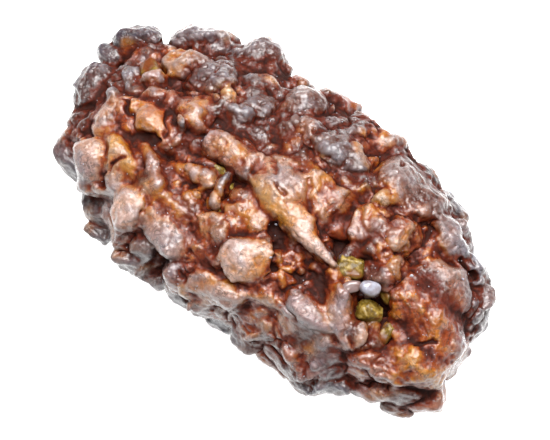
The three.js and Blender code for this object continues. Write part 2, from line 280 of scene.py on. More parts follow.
@dataclass(frozen=True)
class Oval:
    """The loose oval that the dough pieces are pressed into, as the solids have it."""

    length: float = 121
    width: float = 68
    height: float = 35
    girth_level: float = 15
    plan_power: float = 2.3
    dome_power: float = 2.6
    base_share: float = 0.62
    pit_depth: float = 5
    root: float = 2
    middle: tuple[float, float] = (1.15, -0.42)  # seen from the middle of the fritter's box

    @property
    def upper(self) -> float:
        """The dome's rise above the girth."""
        return self.height - self.girth_level

    @property
    def lower(self) -> float:
        """The depth of the lower half's formula below the girth."""
        return self.girth_level / math.sqrt(1 - self.base_share**self.dome_power)

    def plan_share(self, x: Array | float, y: Array | float) -> Array | float:
        """Gives how far out plan points lie, from 0 at the middle to 1 on the girth.

        Args:
            x: Their places along the oval.
            y: Their places across it.

        Returns:
            One share for each point.
        """
        along = abs(x / (self.length / 2)) ** self.plan_power
        across = abs(y / (self.width / 2)) ** self.plan_power
        return (along + across) ** (1 / self.plan_power)

    def dome_point(self, x: float, y: float) -> Array:
        """Gives the point of the smooth dome over a plan point."""
        share = min(1, self.plan_share(x, y))
        return np.array([x, y, self.girth_level + self.upper * math.sqrt(1 - share**self.dome_power)])

    def scattered(self, draws: np.random.Generator, limit: float) -> tuple[float, float]:
        """Draws a plan point at random.

        Args:
            draws: Where it is drawn from.
            limit: The share of the plan's area that it may lie in.

        Returns:
            Its places along and across the oval.
        """
        turn = draws.uniform(0, 2 * math.pi)
        share = math.sqrt(draws.uniform(0, limit))
        return share * self.length / 2 * math.cos(turn), share * self.width / 2 * math.sin(turn)

    def oval_point(self, turn: float, slant: float) -> Array:
        """Gives the point at a turn round the oval and a slant up or down from its girth.

        Args:
            turn: The way round, in radians.
            slant: The way up, in radians.

        Returns:
            A point of the smooth oval.
        """
        share = math.cos(slant) ** (2 / self.dome_power)
        bow = 2 / self.plan_power
        x = math.copysign(abs(math.cos(turn)) ** bow, math.cos(turn)) * share * self.length / 2
        y = math.copysign(abs(math.sin(turn)) ** bow, math.sin(turn)) * share * self.width / 2
        height = self.upper if slant > 0 else self.lower
        return np.array([x, y, self.girth_level + math.sin(slant) * height])

    def sunk(self, points: Array) -> Array:
        """Gives how far points lie under the smooth oval.

        Args:
            points: Points in millimetres, one to a row.

        Returns:
            One depth for each point, in millimetres.
        """
        share = self.plan_share(points[:, 0], points[:, 1])
        rise = points[:, 2] - self.girth_level
        height = np.where(rise > 0, self.upper, self.lower)
        return (1 - np.sqrt(share**self.dome_power + (rise / height) ** 2)) * self.upper

    def way_out(self, place: Array) -> Array:
        """Gives the outward normal at a point of the smooth oval, from the slope of its formula.

        Args:
            place: The point.

        Returns:
            A vector of length 1.
        """
        x, y, z = place
        step = 0.5

        def slope(ahead: float, behind: float) -> float:
            """Gives the formula's slope between two plan shares."""
            return (ahead**self.dome_power - behind**self.dome_power) / (2 * step)

        height = self.upper if z > self.girth_level else self.lower
        out = np.array([
            slope(self.plan_share(x + step, y), self.plan_share(x - step, y)),
            slope(self.plan_share(x, y + step), self.plan_share(x, y - step)),
            2 * (z - self.girth_level) / height**2,
        ])
        return out / np.linalg.norm(out)


@dataclass
class Lump:
    """One dough piece in place: a rounded, slightly boxy lump."""

    middle: Array
    axes: Array
    half: Array
    tint: Tint
    taper: float = 0.0
    power: float = 2.8
    seed: int = 0

    @classmethod
    def rooted(cls, oval: Oval, place: Array, heading: Array, sizes: tuple, turn: float, proud: float,
               tint: Tint) -> Lump:
        """Sets a lump on the oval's skin, rooted in the dough below.

        Args:
            oval: The oval that carries it.
            place: The point of the smooth oval under it.
            heading: The way its length runs before it is turned.
            sizes: Its length and width.
            turn: Its turn about the way out, in degrees.
            proud: How far its crown stands above the smooth oval.
            tint: Its fried colours.

        Returns:
            The lump in place.
        """
        out = oval.way_out(place)
        height = max(0.8 * sizes[1], proud + oval.pit_depth + oval.root)
        middle = place + out * (proud - height / 2)
        half = np.array([sizes[0], sizes[1], height]) / 2
        return cls(middle, cls.turned_axes(out, heading, turn), half, tint)

    @staticmethod
    def turned_axes(out: Array, heading: Array, turn: float) -> Array:
        """Gives a lump's own axes as columns.

        Args:
            out: Its third axis.
            heading: The way of its first axis before the turn.
            turn: The turn about the third axis, in degrees.

        Returns:
            A 3 by 3 matrix.
        """
        across = np.cross(out, heading)
        across = across / np.linalg.norm(across)
        along = np.cross(across, out)
        angle = math.radians(turn)
        first = along * math.cos(angle) + across * math.sin(angle)
        second = across * math.cos(angle) - along * math.sin(angle)
        return np.column_stack([first, second, out])

    def local(self, points: Array) -> Array:
        """Turns points into the lump's own unit space."""
        return (points - self.middle) @ self.axes / self.half

    def depth(self, points: Array) -> Array:
        """Gives how far points lie outside the lump, in millimetres, less than 0 inside."""
        share = (np.abs(self.local(points)) ** self.power).sum(axis=1) ** (1 / self.power)
        return (share - 1) * self.thinnest()

    def thinnest(self) -> float:
        """Gives its least half size, in millimetres."""
        return self.half.min()

    def shell(self, ball: Array, facets: int = 4) -> Array:
        """Shapes a unit ball's points into the lump's skin, flattened here and there as torn dough is.

        Args:
            ball: Points of a unit ball.
            facets: How many flats it has.

        Returns:
            The points in place.
        """
        unit = self.torn_unit(ball, facets)
        width = 1 + self.taper * unit[:, :1]
        shaped = unit * np.hstack([np.ones_like(width), width, 0.5 + 0.5 * width])
        return self.middle + (shaped * self.half) @ self.axes.T

    def torn_unit(self, ball: Array, facets: int) -> Array:
        """Gives a unit ball's points made boxy, with flats.

        Args:
            ball: Points of a unit ball.
            facets: How many flats it has.

        Returns:
            The points in the lump's unit space.
        """
        draws = np.random.default_rng(self.seed)
        size = (np.abs(ball) ** self.power).sum(axis=1, keepdims=True) ** (1 / self.power)
        unit = ball / size
        for _ in range(facets):
            way = draws.normal(size=3)
            way /= np.linalg.norm(way)
            over = unit @ way - draws.uniform(0.78, 1.0)
            unit = unit - np.outer(0.7 * np.maximum(over, 0), way)
        return unit


@dataclass
class BentLump(Lump):
    """A dough piece that follows a curved spine, with a width and height for each place on it."""

    spine: Array | None = None
    across: Array | None = None
    out: Array | None = None
    widths: Array | None = None
    heights: Array | None = None

    def local(self, points: Array) -> Array:
        """Turns points into the lump's own unit space, from the nearest place on the spine.

        Args:
            points: Points in millimetres, one to a row.

        Returns:
            The points in unit space.
        """
        away = ((points[:, None, :2] - self.spine[None, :, :2]) ** 2).sum(axis=2)
        place = away.argmin(axis=1)
        offset = points - self.spine[place]
        along = 2 * place / (len(self.spine) - 1) - 1
        beyond = np.sqrt(np.maximum(away.min(axis=1) - (offset * self.across[place]).sum(axis=1) ** 2, 0))
        ends = np.where(np.abs(along) == 1, beyond / self.widths[place], 0)
        side = (offset * self.across[place]).sum(axis=1) / self.widths[place]
        height = (offset * self.out[place]).sum(axis=1) / self.heights[place]
        return np.column_stack([np.abs(along) ** 4 * 0.8 + ends, side, height])

    def thinnest(self) -> float:
        """Gives the smaller of its mean half width and half height, in millimetres."""
        return min(self.widths.mean(), self.heights.mean())

    def shell(self, ball: Array, facets: int = 2) -> Array:
        """Shapes a unit ball's points into the lump's skin along its spine.

        Args:
            ball: Points of a unit ball.
            facets: How many flats it has.

        Returns:
            The points in place.
        """
        unit = self.torn_unit(ball, facets)
        place = np.clip((unit[:, 0] + 1) / 2, 0, 1) * (len(self.spine) - 1)

        def along(rows: Array) -> Array:
            """Reads rows given for each place of the spine at the points' places.

            Args:
                rows: One row for each place of the spine.

            Returns:
                One row for each point.
            """
            low = np.minimum(place.astype(int), len(rows) - 2)
            part = (place - low).reshape(-1, *[1] * (rows.ndim - 1))
            return rows[low] * (1 - part) + rows[low + 1] * part

        side = along(self.across) * (unit[:, 1] * along(self.widths))[:, None]
        rise = along(self.out) * (unit[:, 2] * along(self.heights))[:, None]
        return along(self.spine) + side + rise


@dataclass(frozen=True)
class FoldPiece:
    """A fold of dough that bends over the top: its course, as plan places with a width and a height each."""

    course: tuple[tuple[float, float, float, float], ...]
    tint: Tint
    steps: int = 25

    def lump(self, oval: Oval) -> BentLump:
        """Sets the fold on the dome.

        Args:
            oval: The oval that carries it.

        Returns:
            The fold in place.
        """
        rows = np.array(self.course)
        length = np.concatenate([[0], np.cumsum(np.hypot(*np.diff(rows[:, :2], axis=0).T))])
        at = np.linspace(0, length[-1], self.steps)
        x, y, width, proud = (np.interp(at, length, rows[:, i]) for i in range(4))
        dome = np.array([oval.dome_point(*plan) for plan in zip(x, y)])
        out = np.array([oval.way_out(place) for place in dome])
        ahead = np.gradient(dome, axis=0)
        across = np.cross(out, ahead)
        across /= np.linalg.norm(across, axis=1, keepdims=True)
        heights = (proud + oval.pit_depth + oval.root) / 2
        spine = dome + out * (proud - heights)[:, None]
        middle = spine.mean(axis=0)
        axes = Lump.turned_axes(out[self.steps // 2], spine[-1] - spine[0], 0)
        half = np.abs(spine - middle).max(axis=0) + width.max()
        return BentLump(middle, axes, half, self.tint, spine=spine, across=across, out=out,
                        widths=width / 2, heights=heights)


@dataclass(frozen=True)
class Groove:
    """A slit or pit pressed into the top: its two plan ends, its width, its depth and how much painted shade
    darkens it.
    """

    start: tuple[float, float]
    end: tuple[float, float]
    width: float
    depth: float
    dark: float = 1.0
    waver: float = 0.7  # how far it wanders off its straight line
    waver_length: float = 1.9
    lowest: float = 15  # it presses into the top alone

    def share(self, points: Array) -> Array:
        """Gives how far points lie into the groove, from 0 at its edge to 1 along its middle.

        Args:
            points: Points in millimetres, one to a row.

        Returns:
            One share for each point.
        """
        first = np.array(self.start)
        way = np.array(self.end) - first
        wavy = points + self.waver * LatticeNoise(3).shift(points, self.waver_length)
        offset = wavy[:, :2] - first
        along = np.clip(offset @ way / max(way @ way, 1e-6), 0, 1)
        away = np.linalg.norm(offset - along[:, None] * way, axis=1)
        return smoothstep(self.width / 2, 0, away) * (points[:, 2] > self.lowest)


@dataclass(frozen=True)
class EdgePush:
    """A bulge or dent of the outline: the plan place, how far it goes out, and its reach along the edge."""

    x: float
    y: float
    out: float
    reach: float

    def shift(self, oval: Oval, points: Array) -> Array:
        """Gives how far points are pushed about.

        Args:
            oval: The oval whose edge it is.
            points: Points in millimetres, one to a row.

        Returns:
            One shift for each point, in millimetres.
        """
        way = np.array([self.x / oval.length**2, self.y / oval.width**2, 0])
        way /= np.linalg.norm(way)
        away = np.hypot(points[:, 0] - self.x, points[:, 1] - self.y)
        return self.out * np.exp(-((away / self.reach) ** 2))[:, None] * way


@dataclass(frozen=True)
class TopPiece:
    """A dough piece that stands out on top: its plan place, length, width, turn and height above the dome."""

    x: float
    y: float
    length: float
    width: float
    turn: float
    proud: float
    tint: Tint
    taper: float = 0.0

    def lump(self, oval: Oval) -> Lump:
        """Sets the piece on the dome.

        Args:
            oval: The oval that carries it.

        Returns:
            The piece in place.
        """
        place = oval.dome_point(self.x, self.y)
        sizes = (PRESSED * self.length, PRESSED * self.width)
        lump = Lump.rooted(oval, place, AHEAD, sizes, self.turn, self.proud, self.tint)
        lump.taper = self.taper
        return lump


@dataclass(frozen=True)
class RimPiece:
    """A dough piece that shapes the outline: its place, length along the rim, height and depth inwards."""

    x: float
    y: float
    level: float
    length: float
    height: float
    depth: float
    tint: Tint
    power: float = 2.3  # rounder than the pieces on top

    def lump(self, oval: Oval) -> Lump:
        """Sets the piece along the rim.

        Args:
            oval: The oval that carries it.

        Returns:
            The piece in place.
        """
        outwards = math.atan2(self.y / oval.width**2, self.x / oval.length**2)
        axes = Lump.turned_axes(UP, AHEAD, math.degrees(outwards) + 90)
        half = np.array([self.length, self.depth, self.height]) / 2
        return Lump(np.array([self.x, self.y, self.level]), axes, half, self.tint, power=self.power)


T = Tint

# Pieces of the solid that are drawn here as folds.
FOLDED_PIECES = (
    TopPiece(-3, 5, 13, 9, 15, 3, T.TAN),
    TopPiece(2, -2, 21, 6.5, -8, 4, T.AMBER),
    TopPiece(10, 4.5, 14, 10, -20, 3, T.PINK),
    TopPiece(15, -4.8, 18, 4, -4, 3.5, T.CREAM, -0.35),
    TopPiece(-42, -19.5, 15, 10, 70, 3.5, T.PEACH),
    TopPiece(-39.5, -14.8, 16, 4.5, -8, 3, T.AMBER),
    TopPiece(-28, -24, 15, 11.5, -25, 4, T.CREAM),
    TopPiece(-29, -13, 11, 5, -20, 1, T.PINK),
    TopPiece(-14, -24.5, 17, 7, -6, 3, T.PEACH),
)

FOLDS = (
    FoldPiece(((-10, 4.5, 7, 2.5), (-4, 3.5, 12, 3.2), (3, 3.5, 15, 3.6), (9, 3.5, 13, 3.3),
               (15, 4, 9, 2.8)), T.PEACH),
    FoldPiece(((8, 5, 7, 3.2), (13, 7, 7, 3), (17, 8.5, 5, 2.2)), T.PINK),
    FoldPiece(((-8, 1, 4, 3.4), (-2, -2.2, 5, 4.2), (4, -3.8, 5.5, 4.5), (9, -4.2, 5, 4)), T.AMBER),
    FoldPiece(((2, -1.2, 7, 4.2), (9, -3.3, 7, 4.5), (14.5, -4.9, 4.4, 4.1), (19, -5.6, 2.8, 3.4),
               (23.5, -5.9, 2, 2.6)), T.CREAM),
    FoldPiece(((-34.2, 0.6, 2, 3.9), (-31, -0.4, 2, 4), (-28, -2, 1.8, 3.6)), T.GREY),
    FoldPiece(((-49.5, 3.2, 3, 2.4), (-46.4, 5.6, 4, 2.8), (-43.2, 8.2, 3, 2.4)), T.PINK),
    FoldPiece(((-43, -13, 7, 3), (-44, -19, 9, 3.4), (-42, -26, 8, 2.4)), T.PEACH),
    FoldPiece(((-45, -13, 6, 3), (-38, -15.3, 7, 3.2), (-31, -17.5, 5, 2.4)), T.AMBER),
    FoldPiece(((-32, -20, 9, 3.4), (-28, -24, 12, 4), (-24, -27, 8, 3)), T.CREAM),
    FoldPiece(((-35, -9.5, 4, 2), (-28, -12.5, 5, 2.2), (-22, -18.5, 5, 2)), T.PINK),
    FoldPiece(((-23, -23, 7, 3), (-15, -25, 8, 3.2), (-8, -26.5, 6, 2.4)), T.PEACH),
)

TOP_PIECES = (
    TopPiece(2, 8.5, 10, 5, 10, 2, T.TAN),
    TopPiece(4.5, -17, 12, 10, 75, 4, T.CREAM),
    TopPiece(-3, -8.5, 11, 9, -25, 2.5, T.PEACH),
    TopPiece(-6.5, -6, 5, 4.5, 0, 2, T.PINK),
    TopPiece(13, -12.5, 7, 6, 0, 1.5, T.RUST),
    TopPiece(13.5, -18.5, 10, 5, 30, 1.5, T.RUST),
    TopPiece(13, -24, 10, 4.5, 24, 1.5, T.PEACH),
    TopPiece(23, -8.5, 4.5, 4, 0, 0.5, T.AMBER),
    TopPiece(20.5, -12.5, 6, 4, 80, -1, T.RUST),
    TopPiece(-14, 1.5, 17, 7, 4, 3.5, T.PINK),
    TopPiece(-8.5, 0, 3.5, 3.5, 0, 3, T.GREY),
    TopPiece(-10, 8, 5.5, 5, 20, 1, T.PEACH),
    TopPiece(-30, 4, 10.5, 8.5, 20, 2.5, T.PINK),
    TopPiece(-38, -4, 14, 9, -5, 3, T.ORANGE),
    TopPiece(-46, -7.5, 10, 9, 60, 3, T.PEACH),
    TopPiece(-49, -4, 4.5, 4.5, 0, 3, T.GREY),
    TopPiece(-36, -19, 9, 6, -60, 2, T.TAN),
    TopPiece(-25, -17.8, 14, 4.5, -14, 1, T.AMBER),
    TopPiece(-7, -17, 10, 9, -50, 2, T.PEACH),
    TopPiece(-17, -17, 7, 6.5, 40, 1, T.TAN),
    TopPiece(-18, -8, 7, 5.5, -20, 1, T.PINK),
    TopPiece(-12.5, -7.5, 7, 2.8, -70, 2, T.GREY),
    TopPiece(-20, -13, 6, 5, 0, 0, T.RUST),
    TopPiece(5.5, 18, 12, 8, 5, 2, T.GREY),
    TopPiece(15, 13, 6.5, 5.5, -30, 1, T.AMBER),
    TopPiece(22.5, 21.5, 15, 10, -15, 3, T.TAN),
    TopPiece(29, 21, 9, 7, 80, 2.5, T.TAN),
    TopPiece(22, 14.5, 9, 5, -20, 1.5, T.AMBER),
    TopPiece(37.5, 20, 11, 6, -10, 2, T.TAN),
    TopPiece(22.5, 7.5, 8, 7, -30, 2, T.PINK),
    TopPiece(29, 10.5, 9, 7.5, 20, 2, T.RUST),
    TopPiece(32, 2, 9, 7.5, 10, 2, T.RUST),
    TopPiece(27, 4, 6, 4, 30, 1.5, T.GREY),
    TopPiece(45, 8, 13, 11, -30, 2.5, T.TAN),
    TopPiece(49, 0, 20, 11, -10, 3, T.RUST),
    TopPiece(41.5, -2.5, 8, 5, -60, 2, T.RUST),
    TopPiece(53, -10, 14, 9, 25, 2.5, T.AMBER),
    TopPiece(44.5, -8.5, 5, 4.5, 70, 0.5, T.PINK),
    TopPiece(25, -18, 13, 6, 10, 2.5, T.PINK),
    TopPiece(31, -13, 14, 6.5, -35, 3, T.PINK),
    TopPiece(36.5, -14, 5, 4.5, 0, 3, T.CREAM),
    TopPiece(22, -23.5, 9, 6, 5, 1, T.PEACH),
    TopPiece(3, -28.5, 13, 8, 5, 2, T.PEACH),
    TopPiece(-2.5, -22.5, 6, 5, -40, 1, T.RUST),
    TopPiece(40.5, -14, 6, 3.5, -20, 0.5, T.GREY),
    TopPiece(48, -17, 9, 5, 20, 1.5, T.PINK),
    TopPiece(41.5, -19.5, 8, 5, 20, 0.5, T.RUST),
    TopPiece(34, -24, 11, 6, 10, 0.5, T.MAUVE),
    TopPiece(-20, 14, 13, 7, 80, 1.5, T.GREY),
    TopPiece(-11, 24, 10, 8.5, 20, 2.5, T.TAN),
    TopPiece(-4.5, 17.5, 10, 6, -10, 1.5, T.TAN),
    TopPiece(-8, 13, 8, 4, -35, 1, T.TAN),
    TopPiece(-43, 15, 10.5, 8.5, 10, 2.5, T.TAN),
    TopPiece(-33, 15.5, 9, 9, -30, 2.5, T.MAUVE),
    TopPiece(-26.5, 14, 5.5, 4.5, 70, 1, T.AMBER),
    TopPiece(-24, 9.5, 6, 4.5, 0, 1, T.DARK),
    TopPiece(-43, 2, 7, 6, 30, 1.5, T.TAN),
    TopPiece(-50, 3, 8, 4, -40, 1.5, T.GREY),
    TopPiece(-55, 11, 9, 8, 30, 1, T.RUST),
    TopPiece(2, 26, 10, 5, 80, 1, T.MAUVE),
    TopPiece(-2, 23, 8, 4, 75, 1, T.MAUVE),
    TopPiece(-24, 22, 9, 6, -20, 1.5, T.GREY),
    TopPiece(-31, 21, 6, 5, 0, 1, T.GREY),
)

RIM_PIECES = (
    RimPiece(-57, 15, 18, 13, 13, 12, T.PLUM),
    RimPiece(-60.5, 7.5, 16, 6, 6, 7, T.PLUM),
    RimPiece(-56.5, -1.5, 17, 15, 15, 14, T.PLUM),
    RimPiece(-55, -11, 12, 7, 6, 7, T.PLUM),
    RimPiece(-50.5, -17.5, 13, 14, 11, 12, T.MAUVE),
    RimPiece(-34, -28, 9, 9, 6, 9, T.MAUVE),
    RimPiece(-44, 25, 18, 17, 14, 13, T.MAUVE),
    RimPiece(-30, 29, 19, 17, 14, 13, T.MAUVE),
    RimPiece(-4, 29.5, 20, 8, 9, 10, T.RUST),
    RimPiece(10, 26.5, 21, 15, 15, 13, T.TAN),
    RimPiece(22, 27.5, 18, 11, 12, 10, T.PLUM),
    RimPiece(31, 26, 15, 13, 12, 11, T.PLUM),
    RimPiece(41, 20.5, 15, 13, 12, 11, T.MAUVE),
    RimPiece(52.5, 12.5, 13, 16, 13, 8, T.MAUVE),
    RimPiece(55.5, 0, 15, 12, 13, 10, T.RUST),
    RimPiece(55.5, -10.5, 12, 12, 10, 11, T.ORANGE),
    RimPiece(51.5, -16.5, 9, 9, 8, 10, T.TAN),
)

# Where the dough lies in smooth folds instead of separate lumps, as x, y and radius.
CALM_SPOTS = (
    (4, 2, 15), (-36, -19, 15), (-16, -25, 9), (50, -3, 13), (42, 12, 9), (24, 21, 8), (28, -17, 9),
    (13, -25, 8), (4, -17, 8), (-38, -4, 7), (-46, -9, 7),
)

# Where the dough is torn into small nubs, as x, y and radius.
NUBBY_SPOTS = ((-36, 16, 9), (-20, 17, 12), (0, 19, 12), (33, 7, 9), (24, 12, 7), (16, -18, 8), (-16, -12, 8))

# Where golden dough shows through the glaze, and where it is fried dark, as x, y and radius.
WARM_SPOTS = (
    (-38, -4, 10), (-37, -16, 7), (-44, 13, 8), (-1, -3, 5), (13, -15, 9), (50, -4, 14), (53, -11, 9),
    (20, 14, 7), (-18, -9, 7), (24, -9, 6), (-28, 4, 7), (36, 12, 8), (-47, 11, 6), (12, 22, 6), (31, 5, 6),
    (-42, -12, 5), (-33, -19, 5), (-24, -20, 5), (44, -4, 8), (-36, -9, 5), (-56, 11, 6), (10, 27, 7),
    (4, -24, 5),
)
COOL_SPOTS = (
    (-32, 22, 12), (-14, 20, 11), (1, 20, 7), (-57, 2, 11), (-54, 16, 9), (54, 14, 9), (30, 27, 10),
    (-45, -25, 7), (18, 28, 9), (40, 22, 8), (31, -2, 5),
)

# Where the dough is paler or, below 0, darker than its height makes it, as x, y, radius and amount: they move
# it along the ramp from the creases' painted shade to the crowns, which are paler partly as painted sheen.
TONE_SPOTS = (
    (9, -3.4, 6, 1.1), (15, -5, 5, 0.9), (20, -5.6, 4, 0.9), (4, -17, 5.5, 0.9), (2, 1, 9, 0.8),
    (-1, -1.5, 6, 0.9), (-29, -24, 10, 1.5), (-44, -19, 9, 1.3), (-13, -25, 8, 1.4), (5, -29, 9, 1.2),
    (28, -17, 8, 1.4), (18, -23, 7, 1.1), (31, -25, 8, 0.7), (28, 22, 6, 0.5), (-20, -14, 7, 0.4),
    (47, 0, 13, -1.4), (53, -10, 8, -0.8), (25, 0, 6, -1.2), (31, 2, 6, -0.7), (19, -10, 6, -1.2),
    (14.6, -18, 6, -1.0), (24, -10, 6, -1.1), (8.8, -15.3, 3, -0.8), (13, 6, 6, -0.5), (-38, -4, 9, -0.8),
    (-38.8, -2.4, 4, 1.2), (-46, -9, 7, -0.4), (-38, -16, 4, -0.5), (30, -16, 5, 0.5), (10, -31, 8, 0.5),
    (-33, 3, 7, -0.8), (-23, 28, 10, -1.4), (-6, 28, 8, -1.4), (5, 33, 8, -1.1), (20, 32, 8, -0.6),
    (-52, -15, 8, -0.8), (-57, -3, 9, -0.9), (55, 7, 7, -0.8), (56, -10, 7, -0.5), (57, -17, 7, -1.0),
    (-14, -6, 7, -0.5), (24, -31, 6, -0.5), (-15, 1.5, 7, -0.6), (22, 8, 7, -0.4), (17.5, -0.5, 4.5, -1.3),
    (34, 15, 7, -0.6), (42, 6, 7, -0.5), (-9, -8, 6, -0.5), (-8, -29, 7, 0.5), (33, -22, 6, 0.6),
    (-55, -8, 7, -0.7),
)

# Where glaze has set to a bluish film, partly painted sheen and painted reflection, as x, y and radius.
FILM_SPOTS = (
    (59, 3, 9), (57, 9, 8), (50, 15, 8), (42, 23, 9), (47, 19, 7), (-22, -30, 9), (-6, -33, 10), (8, -33, 10),
    (36, -28, 9), (-46, -24, 7), (-4, 4, 7), (-31, -0.5, 3), (-36, -22, 6), (-39, 29, 9), (-49, 24, 8),
    (44, 21, 7), (-13, -24, 7), (28, -17, 7), (19, -24, 6),
)

EDGE_PUSHES = tuple(EdgePush(*row) for row in (
    (18, 31, 2.4, 20), (14, -31, -2.6, 15), (44, -26, -2.8, 8), (-36, 30, -0.8, 11), (-29, 33, 1.6, 7),
    (-56, 20, -1.4, 6), (-48, 27, -1.2, 5), (-7, 34, 2.4, 7), (23, 34, -1.0, 4), (29, 32, 1.2, 4),
    (33, 31, -1.0, 5), (45, 24, -1.4, 7), (52, 17, 1.3, 6), (61, 1, -1.8, 8), (62, -11, 1.2, 4),
    (56, -22, -1.8, 5), (35, -31, 2.4, 5), (20, -32, -1.0, 6), (28, -30, 1.4, 4), (4, -34, 1.2, 5),
    (-24, -33, 3.4, 6), (-33, -31, -2.2, 4), (-40, -28, 1.2, 5), (-48, -24, -1.0, 4), (-55, -15, 1.8, 6),
    (-59, -5, -1.0, 4), (-61, 6, 1.5, 7),
))

GROOVES = (
    Groove((-1.2, 0.7), (2.3, -0.3), 1.5, 0.8, 0.6),
    Groove((-7, 6), (-3, 2.8), 2.0, 0.7, 0.2),
    Groove((4, 6), (9, 1.2), 2.6, 0.6, 0.0),
    Groove((11, 1), (15.5, -1.6), 2.4, 0.7, 0.15),
    Groove((4.5, -7.5), (8.5, -9.5), 4.0, 1.2, 0.65),
    Groove((7.5, -10.5), (11.5, -15.8), 3.0, 1.8, 0.7),
    Groove((-46, -2.9), (-39.6, -8.2), 2.4, 1.0, 0.45),
    Groove((-38.6, -9), (-32.5, -7.3), 2.8, 1.2, 0.7),
    Groove((-34.6, 0.2), (-31.5, -5.4), 2.2, 0.9, 0.5),
    Groove((48.5, -7.5), (53, -4), 1.5, 0.9, 0.5),
    Groove((44, 17.2), (49, 16.2), 2.6, 2.4, 1.0),
    Groove((-36.5, -16), (-38, -20.5), 2.0, 1.0, 0.4),
    Groove((18, 24), (18, 24), 2.4, 1.6, 0.8),
    Groove((-4, 7), (-4, 7), 1.5, 0.8, 0.6),
    Groove((1, 7.5), (1, 7.5), 1.3, 0.8, 0.6),
)

# Where nothing small may lie: the deep gaps and the dice of apple, as x, y and radius.
OPEN_SPOTS = (
    (-14, -5.5, 7.5), (-7.6, -10.6, 5.5), (-48, 8, 5.75), (15.8, 20, 5.25),
    (25.5, -3, 6.75), (36.3, -7.4, 5.7), (37.2, -2.1, 4.05), (43, -9.8, 4.55),
    (-36, -9, 3), (-10, -10, 4.5), (-2, -14, 2.5), (18, 0.5, 4.5),
    (17.5, -11, 3), (35, 8, 4), (37, 1, 2.5), (32.5, 20, 2),
    (17.5, 9, 2.5), (-16, 27, 4.5), (-15, -30, 3), (45.5, 15.5, 2.5),
)


